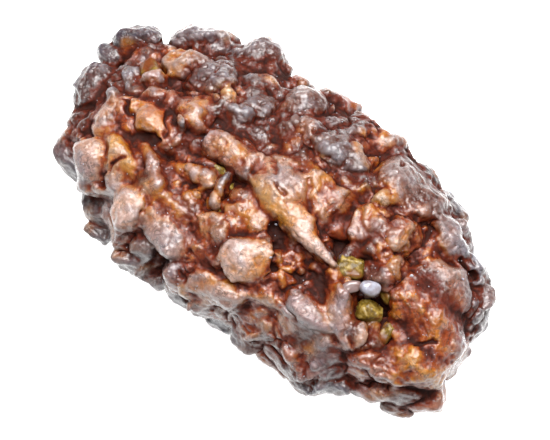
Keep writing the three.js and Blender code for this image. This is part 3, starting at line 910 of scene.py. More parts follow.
@dataclass
class ScatterRule:
    """The seeded rule that sets the side pieces and nubs, as in the solids, and the torn bits and crumbs."""

    seed: int = 1907
    side_rows: tuple = (
        (27, 24, (8, 12)),
        (4, 27, (9, 14)),
        (-18, 25, (9, 13)),
        (-40, 22, (9, 14)),
        (-58, 18, (9, 14)),
    )
    side_widths: tuple = (6.5, 9)
    side_proud: tuple = (-1, 1.6)
    side_turn: tuple = (-35, 35)
    side_jitter: tuple = (-5, 5)
    side_clear: float = 0.75
    side_spread: float = 0.4
    nub_gap: float = 0.8
    nub_stretch: float = 1.25
    nub_count: int = 60
    nub_sizes: tuple = (3, 5.2)
    nub_proud: tuple = (-1.2, 1.2)
    nub_clear: float = 0.62
    nub_limit: float = 0.93
    side_tints: tuple = (T.MAUVE, T.PLUM, T.DARK, T.TAN, T.PLUM, T.RUST)
    nub_tints: tuple = (T.RUST, T.TAN, T.PINK, T.MAUVE, T.RUST, T.DARK, T.AMBER)
    rubble_columns: range = range(-14, 15)
    rubble_rows: range = range(-8, 9)
    rubble_step: float = 4.6
    rubble_squeeze: float = 0.9  # the rows lie closer than the columns
    rubble_jitter: float = 0.45
    rubble_stretch: float = 1.2
    rubble_kin: float = 0.6  # the share of bits that take the colours of the nearest piece
    rubble_limit: float = 0.98
    rubble_open: float = 0.8  # the share of an open spot that bits stay out of
    rubble_sizes: tuple = (3.6, 6.5)
    rubble_proud: tuple = (-2.2, 0.4)
    rubble_tints: tuple = (T.RUST, T.MAUVE, T.TAN, T.DARK, T.PINK, T.RUST, T.GREY)
    crumb_count: int = 420
    crumb_sizes: tuple = (1.3, 2.9)
    crumb_proud: tuple = (-3.0, 0.8)
    crumb_stretch: tuple = (1, 1.7)
    crumb_limit: float = 0.97
    crumb_open: float = 0.6
    crumb_tints: tuple = (T.GREY, T.RUST, T.TAN, T.DARK, T.PINK, T.MAUVE)

    def side_pieces(self, oval: Oval, draws: SeededDraw, named: list[Lump]) -> list[Lump]:
        """Sets rows of pieces round the side, wherever no named piece is near.

        Args:
            oval: The oval that carries them.
            draws: The seeded stream.
            named: The named pieces already set.

        Returns:
            The side pieces.
        """
        made = []
        tints = itertools.cycle(self.side_tints)
        for slant, count, lengths in self.side_rows:
            first = draws.draw()
            for i in range(count):
                turn = 2 * math.pi * (i + first + self.side_spread * draws.draw()) / count
                place = oval.oval_point(turn, math.radians(slant + draws.between(self.side_jitter)))
                heading = np.cross(UP, oval.way_out(place))
                sizes = (draws.between(lengths), draws.between(self.side_widths))
                stance = (draws.between(self.side_turn), draws.between(self.side_proud))
                taken = any(
                    np.linalg.norm(piece.middle - place) < self.side_clear * np.linalg.norm(piece.half)
                    for piece in named
                )
                if not taken:
                    made.append(Lump.rooted(oval, place, heading, sizes, *stance, next(tints)))
        return made

    def nubs(self, oval: Oval, draws: SeededDraw) -> list[Lump]:
        """Sets small nubs between the large pieces on top.

        Args:
            oval: The oval that carries them.
            draws: The seeded stream.

        Returns:
            The nubs.
        """
        kept = [(p.x, p.y, self.nub_clear * (p.length + p.width) / 2) for p in TOP_PIECES + FOLDED_PIECES]
        kept += OPEN_SPOTS
        tints = itertools.cycle(self.nub_tints)
        made: list[Lump] = []
        while len(made) < self.nub_count:
            x = (draws.draw() - 0.5) * oval.length
            y = (draws.draw() - 0.5) * oval.width
            clear = all(math.hypot(x - spot[0], y - spot[1]) > spot[2] for spot in kept)
            if oval.plan_share(x, y) > self.nub_limit or not clear:
                continue
            size = draws.between(self.nub_sizes)
            kept.append((x, y, self.nub_gap * size))
            turn = 180 * draws.draw()
            proud = draws.between(self.nub_proud)
            nub = TopPiece(x, y, self.nub_stretch * size, size, turn, proud, next(tints))
            made.append(nub.lump(oval))
        return made

    def rubble(self, oval: Oval) -> list[Lump]:
        """Sets a layer of torn bits of dough just under the named pieces, and crumbs over it.

        Args:
            oval: The oval that carries them.

        Returns:
            The bits and crumbs.
        """
        draws = np.random.default_rng(self.seed)
        made = []
        for column, row in itertools.product(self.rubble_columns, self.rubble_rows):
            jitter = draws.uniform(-self.rubble_jitter, self.rubble_jitter, 2)
            x = (column + 0.5 * (row % 2) + jitter[0]) * self.rubble_step
            y = (row + jitter[1]) * self.rubble_squeeze * self.rubble_step
            length, width = sorted(draws.uniform(*self.rubble_sizes, 2), reverse=True)
            turn = draws.uniform(0, 180)
            proud = draws.uniform(*self.rubble_proud)
            near = min(TOP_PIECES + FOLDED_PIECES, key=lambda piece: math.hypot(piece.x - x, piece.y - y))
            tint = near.tint
            if draws.uniform() >= self.rubble_kin:
                tint = self.rubble_tints[draws.integers(len(self.rubble_tints))]
            if oval.plan_share(x, y) < self.rubble_limit and self.is_clear(x, y, self.rubble_open):
                bit = TopPiece(x, y, self.rubble_stretch * length, width, turn, proud, tint)
                made.append(bit.lump(oval))
        for _ in range(self.crumb_count):
            x, y = oval.scattered(draws, self.crumb_limit)
            size = draws.uniform(*self.crumb_sizes)
            stance = (draws.uniform(0, 180), draws.uniform(*self.crumb_proud))
            tint = self.crumb_tints[draws.integers(len(self.crumb_tints))]
            if self.is_clear(x, y, self.crumb_open):
                length = size * draws.uniform(*self.crumb_stretch)
                crumb = TopPiece(x, y, length, size, *stance, tint).lump(oval)
                crumb.half[2] = 0.5 * size
                crumb.middle = oval.dome_point(x, y) + crumb.axes[:, 2] * (stance[1] - crumb.half[2])
                made.append(crumb)
        return made

    @staticmethod
    def is_clear(x: float, y: float, share: float) -> bool:
        """Tells whether a plan point lies clear of the open spots, each taken at a share of its radius."""
        return all(math.hypot(x - spot[0], y - spot[1]) > share * spot[2] for spot in OPEN_SPOTS)


def clear_selection() -> None:
    """Leaves edit mode and deselects everything."""
    if bpy.context.object and bpy.context.object.mode != "OBJECT":
        bpy.ops.object.mode_set(mode="OBJECT")
    bpy.ops.object.select_all(action="DESELECT")


def make_active(piece: bpy.types.Object) -> None:
    """Selects one object alone and makes it the active one.

    Args:
        piece: The object.
    """
    clear_selection()
    piece.select_set(True)
    bpy.context.view_layer.objects.active = piece


def copy_solid(node: bpy.types.Object, name: str) -> bpy.types.Object:
    """Copies a solid's mesh as a new object, with its loose triangles merged.

    Args:
        node: The solid's object.
        name: The copy's name.

    Returns:
        The copy, linked to the scene.
    """
    piece = bpy.data.objects.new(name, node.data.copy())
    bpy.context.scene.collection.objects.link(piece)
    make_active(piece)
    bpy.ops.object.mode_set(mode="EDIT")
    bpy.ops.mesh.select_all(action="SELECT")
    bpy.ops.mesh.remove_doubles(threshold=MERGE_MM * MM)
    bpy.ops.object.mode_set(mode="OBJECT")
    return piece


def coat(piece: bpy.types.Object, material: bpy.types.Material) -> None:
    """Gives a piece one material, and shades it smooth.

    Args:
        piece: The piece's object.
        material: Its material.
    """
    piece.data.materials.clear()
    piece.data.materials.append(material)
    make_active(piece)
    bpy.ops.object.shade_smooth()


def apply_modifier(piece: bpy.types.Object, kind: str, **settings: object) -> None:
    """Adds a modifier and applies it.

    Args:
        piece: The object to change.
        kind: The modifier's type.
        settings: Its properties.
    """
    make_active(piece)
    modifier = piece.modifiers.new(kind.lower(), kind)
    for name, value in settings.items():
        setattr(modifier, name, value)
    bpy.ops.object.modifier_apply(modifier=modifier.name)


def read_rows(items: bpy.types.bpy_prop_collection, name: str, width: int, kind: type) -> Array:
    """Reads one property of each item of a mesh.

    Args:
        items: The mesh's points or edges.
        name: The property's name.
        width: How many numbers it has.
        kind: The numbers' type.

    Returns:
        One row for each item.
    """
    values = np.empty(len(items) * width, kind)
    items.foreach_get(name, values)
    return values.reshape(-1, width)


def read_points(mesh: bpy.types.Mesh) -> Array:
    """Reads a mesh's points, in metres."""
    return read_rows(mesh.vertices, "co", 3, np.float64)


def read_normals(mesh: bpy.types.Mesh) -> Array:
    """Reads a mesh's point normals."""
    return read_rows(mesh.vertices, "normal", 3, np.float64)


def read_edges(mesh: bpy.types.Mesh) -> Array:
    """Reads a mesh's edges as pairs of point numbers."""
    return read_rows(mesh.edges, "vertices", 2, np.int64)


def write_points(mesh: bpy.types.Mesh, points: Array) -> None:
    """Writes a mesh's points, in metres."""
    mesh.vertices.foreach_set("co", points.ravel())
    mesh.update()


def write_value(mesh: bpy.types.Mesh, name: str, values: Array) -> None:
    """Writes one number to each point of a mesh, as a named attribute."""
    attribute = mesh.attributes.new(name, "FLOAT", "POINT")
    attribute.data.foreach_set("value", values.astype(np.float32))


def write_colour(mesh: bpy.types.Mesh, name: str, colours: Array) -> None:
    """Writes one linear colour to each point of a mesh, as a named attribute.

    Args:
        mesh: The mesh.
        name: The attribute's name.
        colours: One row of red, green and blue for each point.
    """
    attribute = mesh.attributes.new(name, "FLOAT_COLOR", "POINT")
    full = np.column_stack([colours, np.ones(len(colours))]).astype(np.float32)
    attribute.data.foreach_set("color", full.ravel())


def mesh_object(name: str, points: Array, faces: Array) -> bpy.types.Object:
    """Makes an object from arrays.

    Args:
        name: The object's name.
        points: Its points in metres.
        faces: Its triangles, as point numbers.

    Returns:
        The new object, linked to the scene.
    """
    mesh = bpy.data.meshes.new(name)
    mesh.vertices.add(len(points))
    mesh.vertices.foreach_set("co", points.astype(np.float32).ravel())
    mesh.loops.add(faces.size)
    mesh.loops.foreach_set("vertex_index", faces.astype(np.int32).ravel())
    mesh.polygons.add(len(faces))
    mesh.polygons.foreach_set("loop_start", np.arange(0, faces.size, 3, dtype=np.int32))
    mesh.update(calc_edges=True)
    mesh.validate()
    piece = bpy.data.objects.new(name, mesh)
    bpy.context.scene.collection.objects.link(piece)
    return piece


def unit_ball(subdivisions: int) -> tuple[Array, Array]:
    """Models a ball once, to be copied for every lump.

    Args:
        subdivisions: How finely it is divided.

    Returns:
        Its points and its triangles.
    """
    clear_selection()
    bpy.ops.mesh.primitive_ico_sphere_add(subdivisions=subdivisions, radius=1)
    ball = bpy.context.object
    points = read_points(ball.data)
    faces = np.array([tuple(face.vertices) for face in ball.data.polygons])
    mesh = ball.data
    bpy.data.objects.remove(ball)
    bpy.data.meshes.remove(mesh)
    return points, faces


def neighbour_mean(values: Array, edges: Array, count: int) -> Array:
    """Averages each point's value over the points that an edge joins to it.

    Args:
        values: One row for each point.
        edges: Pairs of point numbers.
        count: The number of points.

    Returns:
        The averaged rows.
    """
    degree = np.bincount(edges.ravel(), minlength=count)
    total = np.zeros_like(values)
    for column in range(values.shape[1]):
        weights = values[:, column]
        total[:, column] = np.bincount(edges[:, 0], weights[edges[:, 1]], count)
        total[:, column] += np.bincount(edges[:, 1], weights[edges[:, 0]], count)
    return total / np.maximum(degree, 1)[:, None]


def add_node(material: bpy.types.Material, kind: str, settings: dict | None = None,
             inputs: dict | None = None) -> bpy.types.Node:
    """Adds a node to a material, with its settings and links.

    Args:
        material: The material to add to.
        kind: The node's type.
        settings: Properties of the node.
        inputs: Values, or output sockets to link, for its inputs by name or number.

    Returns:
        The node.
    """
    node = material.node_tree.nodes.new(kind)
    for name, value in (settings or {}).items():
        setattr(node, name, value)
    fill_sockets(material, node, inputs or {})
    return node


def fill_sockets(material: bpy.types.Material, node: bpy.types.Node, inputs: dict) -> None:
    """Sets or links a node's inputs.

    Args:
        material: The material that has the node.
        node: The node.
        inputs: Values, or output sockets to link, by the input's name or number.
    """
    for key, value in inputs.items():
        if isinstance(value, bpy.types.NodeSocket):
            material.node_tree.links.new(value, node.inputs[key])
        else:
            node.inputs[key].default_value = value


def new_material(name: str) -> tuple[bpy.types.Material, bpy.types.Node]:
    """Makes an empty material with a shader.

    Args:
        name: The material's name.

    Returns:
        The material and its shader node.
    """
    material = bpy.data.materials.new(name)
    material.use_nodes = True
    material.node_tree.nodes.clear()
    shader = add_node(material, "ShaderNodeBsdfPrincipled")
    add_node(material, "ShaderNodeOutputMaterial", inputs={"Surface": shader.outputs["BSDF"]})
    return material, shader


@dataclass(frozen=True)
class GlazedCrust:
    """Fried dough under a thin sugar glaze: blotched brown, with painted shade that makes the creases nearly
    black, wet glints from its coat, and painted glints on sugar grains.
    """

    # The creases' near-black colour is painted shade over dark fried dough, and the foot's darker colour is
    # painted shade too.
    char: str = "#3c1103"
    foot: str = "#742406"
    # A pale film: set glaze, partly painted sheen and painted reflection.
    veil_and_sheen: str = "#9c98a2"
    warm: tuple[str, str] = ("#d08426", "#ac4a06")  # thin glaze over golden dough
    cool: tuple[str, str] = ("#6c4640", "#4a2016")  # dough fried dark
    grain_mm: float = 0.9
    ripple_mm: float = 1.1
    mottle_mm: float = 2.2
    wrinkle_mm: float = 1.7
    wrinkle_reach: float = 0.07  # how far from a wrinkle's middle the noise still counts as part of it
    wrinkle_lift: float = 0.35  # how much of a wrinkle shows in the glaze over it
    speck_mm: float = 0.55
    # The grains of sugar whose painted glints brighten the colour.
    crystal_mm: float = 0.4
    bump_mm: float = 0.15
    glint_mm: float = 0.3
    shade: float = 0.34

    def build(self) -> bpy.types.Material:
        """Builds the material.

        Returns:
            The material.
        """
        material, shader = new_material("glazed_fried_dough")
        place = add_node(material, "ShaderNodeTexCoord").outputs["Object"]
        # The crust's colour, with its painted shade in the creases and painted sheen on the crowns.
        colour = add_node(material, "ShaderNodeAttribute", {"attribute_name": "crust_colour_and_painted_light"})
        rise = add_node(material, "ShaderNodeAttribute", {"attribute_name": "rise"}).outputs["Fac"]
        grain, mottle, speck, crystal, skin, wave = (
            add_node(material, "ShaderNodeTexNoise", inputs={
                "Vector": place, "Scale": 1 / (size * MM), "Detail": detail, "Roughness": rough,
                "Distortion": bend}).outputs["Fac"]
            for size, detail, rough, bend in (
                (self.grain_mm, 3.0, 0.6, 0.0),
                (self.mottle_mm, 3.0, 0.6, 0.0),
                (self.speck_mm, 2.0, 0.6, 0.0),
                (self.crystal_mm, 1.0, 0.5, 0.0),
                (self.wrinkle_mm, 1.5, 0.5, 0.8),
                (self.ripple_mm, 2.5, 0.5, 1.2),
            )
        )
        # Blotches of frying, specks, single grains of sugar with painted glints, the painted shade in
        # wrinkles, dull creases, wet crowns.
        blotch, fleck, sugar_glint, deepest, dullness, wetness = (
            add_node(material, "ShaderNodeMapRange", inputs={
                "Value": value, "From Min": low, "From Max": high, "To Min": first,
                "To Max": last}).outputs["Result"]
            for value, low, high, first, last in (
                (mottle, 0.3, 0.7, 0.85 * self.shade, 1.15 * self.shade),
                (speck, 0.35, 0.65, 0.9, 1.1),
                (crystal, 0.66, 0.76, 1.0, 1.6),
                (mottle, 0.4, 0.58, 1.0, 0.4),
                (rise, 0.1, 0.5, 0.75, 0.38),
                (rise, 0.12, 0.55, 0.0, 0.9),
            )
        )
        # Fine wrinkles, here and there, where the skin of the dough has drawn together; painted shade darkens
        # them in the colour.
        offset = add_node(material, "ShaderNodeMath", {"operation": "SUBTRACT"}, {0: skin, 1: 0.5})
        away = add_node(material, "ShaderNodeMath", {"operation": "ABSOLUTE"}, {0: offset.outputs["Value"]})
        wrinkle = add_node(material, "ShaderNodeMapRange", inputs={
            "Value": away.outputs["Value"], "From Min": 0.0, "From Max": self.wrinkle_reach,
            "To Min": deepest, "To Max": 1.0}).outputs["Result"]
        tone = blotch
        for part in (fleck, sugar_glint, wrinkle):
            product = add_node(material, "ShaderNodeMath", {"operation": "MULTIPLY"}, {0: tone, 1: part})
            tone = product.outputs["Value"]
        fried = add_node(material, "ShaderNodeMix", {"data_type": "RGBA", "blend_type": "MULTIPLY"}, {
            0: 1.0, 6: colour.outputs["Color"], 7: tone})
        film = add_node(material, "ShaderNodeMath", {"operation": "MULTIPLY_ADD"}, {
            0: wrinkle, 1: self.wrinkle_lift, 2: wave})
        bump, ripple = (
            add_node(material, "ShaderNodeBump", inputs={
                "Strength": 1.0, "Distance": depth * MM, "Height": height}).outputs["Normal"]
            for depth, height in ((self.bump_mm, grain), (self.glint_mm, film.outputs["Value"]))
        )
        fill_sockets(material, shader, {
            "Base Color": fried.outputs[2],
            "Roughness": dullness,
            "Normal": bump,
            "IOR": 1.45,
            "Specular IOR Level": 0.15,
            "Subsurface Weight": 0.15,
            "Subsurface Radius": (1.0, 0.4, 0.2),
            "Subsurface Scale": 0.8 * MM,
            "Coat Weight": wetness,
            "Coat Normal": ripple,
            "Coat Roughness": 0.05,
            "Coat IOR": 1.5,
        })
        return material


@dataclass(frozen=True)
class CookedApple:
    """Apple cooked soft: olive yellow, translucent, with a fine grain and a wet skin of glaze."""

    flesh: str = "#564312"
    pale: str = "#84703a"
    deep: str = "#2e1e08"
    # The brown that each die turns towards its foot.
    glazed: str = "#54240c"
    fibre_mm: float = 1.6

    def build(self) -> bpy.types.Material:
        """Builds the material.

        Returns:
            The material.
        """
        material, shader = new_material("cooked_apple_flesh")
        place = add_node(material, "ShaderNodeTexCoord").outputs["Object"]
        fibre = add_node(material, "ShaderNodeTexNoise", inputs={
            "Vector": place, "Scale": 1 / (self.fibre_mm * MM), "Detail": 5.0, "Roughness": 0.6})
        ramp = add_node(material, "ShaderNodeValToRGB", inputs={"Fac": fibre.outputs["Fac"]})
        ramp.color_ramp.elements[0].position = 0.32
        ramp.color_ramp.elements[0].color = linear(self.deep)
        ramp.color_ramp.elements[1].position = 0.68
        ramp.color_ramp.elements[1].color = linear(self.pale)
        ramp.color_ramp.elements.new(0.5).color = linear(self.flesh)
        bump = add_node(material, "ShaderNodeBump", inputs={
            "Strength": 0.8, "Distance": 0.3 * MM, "Height": fibre.outputs["Fac"]})
        # Each die turns brown towards its foot, and further up here and there.
        browning = add_node(material, "ShaderNodeAttribute", {"attribute_name": "browning"})
        flesh = add_node(material, "ShaderNodeMix", {"data_type": "RGBA"}, {
            0: browning.outputs["Fac"], 6: ramp.outputs["Color"], 7: linear(self.glazed)})
        fill_sockets(material, shader, {
            "Base Color": flesh.outputs[2],
            "Normal": bump.outputs["Normal"],
            "Roughness": 0.4,
            "Specular IOR Level": 0.15,
            "IOR": 1.4,
            "Subsurface Weight": 0.35,
            "Subsurface Radius": (1.0, 0.8, 0.25),
            "Subsurface Scale": 1.5 * MM,
            "Coat Weight": 0.2,
            "Coat Roughness": 0.08,
        })
        return material


@dataclass(frozen=True)
class CragRule:
    """How rough the dough's skin is. A pair named for a swell is its width and height in millimetres."""

    seed: int = 23
    patch_mm: float = 11  # the width of rough and smooth patches
    patch_levels: tuple = (-0.3, 0.4)
    patch_rough: tuple = (0.35, 0.65)  # the least roughness, and what a rough patch adds
    calm_loss: float = 0.6
    rim_loss: float = 0.5
    rim_levels: tuple = (24, 17)
    nubby_gain: float = 0.85
    nubby_core: float = 0.6
    bend: tuple = (2.6, 0.9)
    dome_swells: tuple = ((4.2, 1.2), (2.1, 1.0))
    fine_swell: tuple = (1.2, 0.2)
    dome_mean: float = 0.6
    ridge_swell: tuple = (2.2, 0.3)
    ridge_level: float = 0.3
    wave_swells: tuple = ((1.7, 0.2), (0.9, 0.06))
    crease_patch_mm: float = 6.0
    crease_depth: float = 0.6
    crease_reach: float = 0.6
    crease_calm_loss: float = 0.8
    valley_rounds: int = 40
    valley_levels: tuple = (0.1, -0.7)
    valley_swell: tuple = (1.7, 0.8)
    valley_mean: float = 0.5

    def roughness(self, crag: LatticeNoise, points: Array, calm: Array) -> Array:
        """Gives how rough the skin is.

        Args:
            crag: The noise of the crags.
            points: The skin's points.
            calm: How calm the skin is at each point.

        Returns:
            One value for each point.
        """
        least, gain = self.patch_rough
        rough = least + gain * smoothstep(*self.patch_levels, crag.at(points, self.patch_mm))
        rough = rough * (1 - self.calm_loss * calm)
        rough *= 1 - self.rim_loss * smoothstep(*self.rim_levels, points[:, 2])
        for spot in NUBBY_SPOTS:
            rough += self.nubby_gain * spot_share(points, *spot, self.nubby_core)
        return rough


@dataclass
class DoughCrust:
    """The dough of the fritter, as one piece."""

    oval: Oval = field(default_factory=Oval)
    rule: ScatterRule = field(default_factory=ScatterRule)
    bends: Unevenness = field(default_factory=Unevenness)
    crags: CragRule = field(default_factory=CragRule)
    core_inset_mm: float = 1.6
    foot_mm: tuple = (0.5, 4)  # the foot keeps the solid's skin up to here, and is drawn in fully from here
    large_mm: float = 4  # a piece with a greater half size gets the finer ball
    filling_depth_mm: float = 1.2
    filling_swell_mm: tuple = (7, 1.2)
    pit_mm: float = 3.5
    pit_edge_mm: float = 3
    pit_core: float = 0.6
    drawn_in_mm: float = 0.3
    calm_core: float = 0.55
    calm_levels_mm: tuple = (12, 18)
    lift_rounds: tuple = ((3, 0.2), (20, 0.65), (160, 0.8))  # rounds of smoothing, and what each scale weighs
    tone_core: float = 0.4
    tone_swells: tuple = ((2.4, 0.4), (1.2, 0.25), (0.7, 0.1))
    # How much painted shade darkens the grooves.
    groove_shade: float = 4
    mixing: tuple = (40, 20)  # rounds that mix neighbouring colours, and how many of them are everywhere
    swing_mm: float = 7.0
    swing_core: float = 0.3
    swing_gain: float = 0.7
    swing_most: float = 0.8
    tone_stops: tuple = (0.05, 0.22, 0.43, 0.73, 1.15)
    film_mm: float = 2.6
    film_noise: float = 0.32
    # Painted reflection along the rim.
    film_rim_reflection: float = 0.2
    film_spot: float = 0.26
    film_core: float = 0.4
    film_most: float = 0.8
    blending: int = 7
    calming: int = 30
    voxel_mm: float = 0.36
    most_triangles: int = 500_000
    lumps: list[Lump] = field(default_factory=list)
    piece: bpy.types.Object | None = None

    def gather(self) -> None:
        """Sets every dough piece in place."""
        draws = SeededDraw(self.rule.seed)
        named = [row.lump(self.oval) for row in TOP_PIECES + RIM_PIECES]
        folded = [row.lump(self.oval) for row in FOLDED_PIECES]
        sides = self.rule.side_pieces(self.oval, draws, named + folded)
        nubs = self.rule.nubs(self.oval, draws)
        folds = [row.lump(self.oval) for row in FOLDS]
        self.lumps = named + folds + sides + nubs + self.rule.rubble(self.oval)
        for i, lump in enumerate(self.lumps):
            lump.seed = i

    def to_frame(self, points: Array) -> Array:
        """Turns points from the oval's millimetres into the frame's metres."""
        return (points + np.array([*self.oval.middle, 0])) * MM

    def to_oval(self, points: Array) -> Array:
        """Turns points from the frame's metres into the oval's millimetres."""
        return points / MM - np.array([*self.oval.middle, 0])

    def body(self, node: bpy.types.Object) -> bpy.types.Object:
        """Copies the solid's skin and draws it in above the foot, so that the pieces stand out of it.

        Args:
            node: The solid's object.

        Returns:
            The copy.
        """
        piece = copy_solid(node, "fritter_dough")
        mesh = piece.data
        points = read_points(mesh)
        low, high = self.foot_mm
        inset = self.core_inset_mm * MM * smoothstep(low * MM, high * MM, points[:, 2])
        write_points(mesh, points - read_normals(mesh) * inset[:, None])
        return piece

    def build(self, node: bpy.types.Object) -> None:
        """Models the dough: body and pieces fused, then smoothed and wrinkled.

        Args:
            node: The solid's object.
        """
        self.gather()
        body = self.body(node)
        ball, faces = unit_ball(4)
        small_ball, small_faces = unit_ball(3)
        points, rows, count = [], [], 0
        for lump in self.lumps:
            large = lump.half.max() > self.large_mm
            shell = lump.shell(ball if large else small_ball)
            points.append(shell)
            rows.append((faces if large else small_faces) + count)
            count += len(shell)
        skin_ball, skin_faces = unit_ball(6)
        points.append(self.filling(skin_ball))
        rows.append(skin_faces + count)
        points = np.vstack(points)
        points += self.bends.shift(points)
        pieces = mesh_object("dough_pieces", self.to_frame(points), np.vstack(rows))
        make_active(body)
        pieces.select_set(True)
        bpy.ops.object.join()
        apply_modifier(body, "REMESH", mode="VOXEL", voxel_size=self.voxel_mm * MM)
        self.keep_largest(body)
        self.relief(body.data, self.to_oval(read_points(node.data)))
        self.thin_out(body)
        self.piece = body

    def filling(self, ball: Array) -> Array:
        """Shapes a unit ball into the dough that fills the spaces between the pieces, sunk at the open spots.

        Args:
            ball: Points of a unit ball.

        Returns:
            The points in place.
        """
        oval = self.oval
        turn = np.arctan2(ball[:, 1], ball[:, 0])
        slant = np.arcsin(np.clip(ball[:, 2], -1, 1))
        share = np.cos(slant) ** (2 / oval.dome_power)
        bow = 2 / oval.plan_power
        x = np.sign(np.cos(turn)) * np.abs(np.cos(turn)) ** bow * share * oval.length / 2
        y = np.sign(np.sin(turn)) * np.abs(np.sin(turn)) ** bow * share * oval.width / 2
        z = oval.girth_level + np.sin(slant) * np.where(slant > 0, oval.upper, oval.lower)
        width, height = self.filling_swell_mm
        depth = self.filling_depth_mm + height * LatticeNoise(17).at(np.column_stack([x, y, z]), width)
        for spot_x, spot_y, radius in OPEN_SPOTS:
            away = np.hypot(x - spot_x, y - spot_y)
            pit = self.pit_mm * smoothstep(radius + self.pit_edge_mm, self.pit_core * radius, away)
            depth += np.where(slant > 0, pit, 0)
        inward = 1 - depth / oval.upper
        middle = np.array([0, 0, oval.girth_level])
        points = middle + (np.column_stack([x, y, z]) - middle) * np.clip(inward, 0.3, 1)[:, None]
        points[:, 2] = np.maximum(points[:, 2], 0.4)
        return points

    @staticmethod
    def keep_largest(piece: bpy.types.Object) -> None:
        """Deletes the closed pockets inside the dough, so that only its outer skin is left.

        Args:
            piece: The dough's object.
        """
        make_active(piece)
        bpy.ops.object.mode_set(mode="EDIT")
        bpy.ops.mesh.select_all(action="SELECT")
        bpy.ops.mesh.separate(type="LOOSE")
        bpy.ops.object.mode_set(mode="OBJECT")
        parts = sorted(bpy.context.selected_objects, key=lambda part: len(part.data.vertices))
        whole = parts.pop()
        for part in parts:
            bpy.data.objects.remove(part)
        if whole is not piece:
            piece.data = whole.data
            bpy.data.objects.remove(whole)

    def relief(self, mesh: bpy.types.Mesh, solid: Array) -> None:
        """Smooths the fused skin and adds the fine crags of fried dough.

        Args:
            mesh: The dough's mesh.
            solid: The solid's points.
        """
        edges = read_edges(mesh)
        points = self.to_oval(read_points(mesh))
        calm = self.calm(points)
        for i in range(self.blending + self.calming):
            pull = 0.5 if i < self.blending else 0.5 * calm[:, None]
            points += pull * (neighbour_mean(points, edges, len(points)) - points)
        write_points(mesh, self.to_frame(points))
        normals = read_normals(mesh)
        rule = self.crags
        crag = LatticeNoise(rule.seed)
        rough = rule.roughness(crag, points, calm)
        width, height = rule.bend
        bent = points + height * crag.shift(points, width)
        swell = rough * sum(
            height * (crag.domes(bent, width) - rule.dome_mean) for width, height in rule.dome_swells)
        width, height = rule.fine_swell
        swell += height * (crag.domes(bent, width) - rule.dome_mean)
        swell -= self.drawn_in_mm
        owner, first, second = self.owners(points - self.bends.shift(points))
        width, height = rule.ridge_swell
        swell += height * (rule.ridge_level - np.abs(crag.at(self.along_pieces(points, owner), width)))
        swell += sum(height * crag.at(points, width) for width, height in rule.wave_swells)
        # Sharp creases here and there where two pieces meet, and small nubs in the valleys.
        torn = smoothstep(0.0, 0.5, crag.at(points, rule.crease_patch_mm))
        torn = torn * (1 - rule.crease_calm_loss * calm)
        swell -= rule.crease_depth * torn * smoothstep(rule.crease_reach, 0.0, second - first)
        around = points
        for _ in range(rule.valley_rounds):
            around = neighbour_mean(around, edges, len(points))
        lift = ((points - around) * normals).sum(axis=1)
        valley = smoothstep(*rule.valley_levels, lift) * (1 - calm)
        width, height = rule.valley_swell
        swell += height * valley * (crag.domes(bent, width) - rule.valley_mean)
        for groove in GROOVES:
            swell -= groove.depth * groove.share(points)
        points = points + normals * swell[:, None]
        points[:, 2] = np.maximum(points[:, 2], 0)
        points = self.fitted(points, solid)
        points += sum(push.shift(self.oval, points) for push in EDGE_PUSHES)
        write_points(mesh, self.to_frame(points))

    @staticmethod
    def fitted(points: Array, solid: Array) -> Array:
        """Scales points so that they fill the solid's box.

        Args:
            points: The skin's points.
            solid: The solid's points.

        Returns:
            The points in the box.
        """
        low, high = solid.min(axis=0), solid.max(axis=0)
        share = (points - points.min(axis=0)) / np.ptp(points, axis=0)
        return low + share * (high - low)

    def calm(self, points: Array) -> Array:
        """Gives how far points lie in the calm spots, from 0 outside them to 1 well inside.

        Args:
            points: The skin's points.

        Returns:
            One value for each point.
        """
        inside = np.zeros(len(points))
        for spot in CALM_SPOTS:
            inside = np.maximum(inside, spot_share(points, *spot, self.calm_core))
        return inside * smoothstep(*self.calm_levels_mm, points[:, 2])

    def along_pieces(self, points: Array, owner: Array) -> Array:
        """Gives points in the axes of the piece that they lie on, drawn together along it.

        Args:
            points: The skin's points.
            owner: The number of the piece that each point lies on.

        Returns:
            The points in their pieces' axes.
        """
        middles = np.array([lump.middle for lump in self.lumps])[owner]
        axes = np.array([lump.axes for lump in self.lumps])[owner]
        own = np.einsum("ij,ijk->ik", points - middles, axes)
        return own * np.array([0.35, 1, 1]) + 7.3 * owner[:, None]

    def thin_out(self, piece: bpy.types.Object) -> None:
        """Brings the dough under its share of triangles.

        Args:
            piece: The dough's object.
        """
        piece.data.calc_loop_triangles()
        count = len(piece.data.loop_triangles)
        apply_modifier(piece, "TRIANGULATE")
        if count > self.most_triangles:
            apply_modifier(piece, "DECIMATE", ratio=self.most_triangles / count)
        log.info("dough: %d triangles, thinned to %d", count, len(piece.data.polygons))

    def owners(self, points: Array) -> tuple[Array, Array, Array]:
        """Finds the dough piece that each point lies on.

        Args:
            points: Points with the bends taken out.

        Returns:
            For each point the piece's number, how far outside that piece it lies, and how far outside the
            next one.
        """
        owner = np.zeros(len(points), int)
        nearest = np.full(len(points), FAR)
        second = np.full(len(points), FAR)
        for i, lump in enumerate(self.lumps):
            reach = np.linalg.norm(lump.half) + 3
            near = np.flatnonzero(np.abs(points - lump.middle).max(axis=1) < reach)
            depth = lump.depth(points[near])
            closer = depth < nearest[near]
            second[near] = np.where(closer, nearest[near], np.minimum(second[near], depth))
            chosen = near[closer]
            owner[chosen] = i
            nearest[chosen] = depth[closer]
        return owner, nearest, second

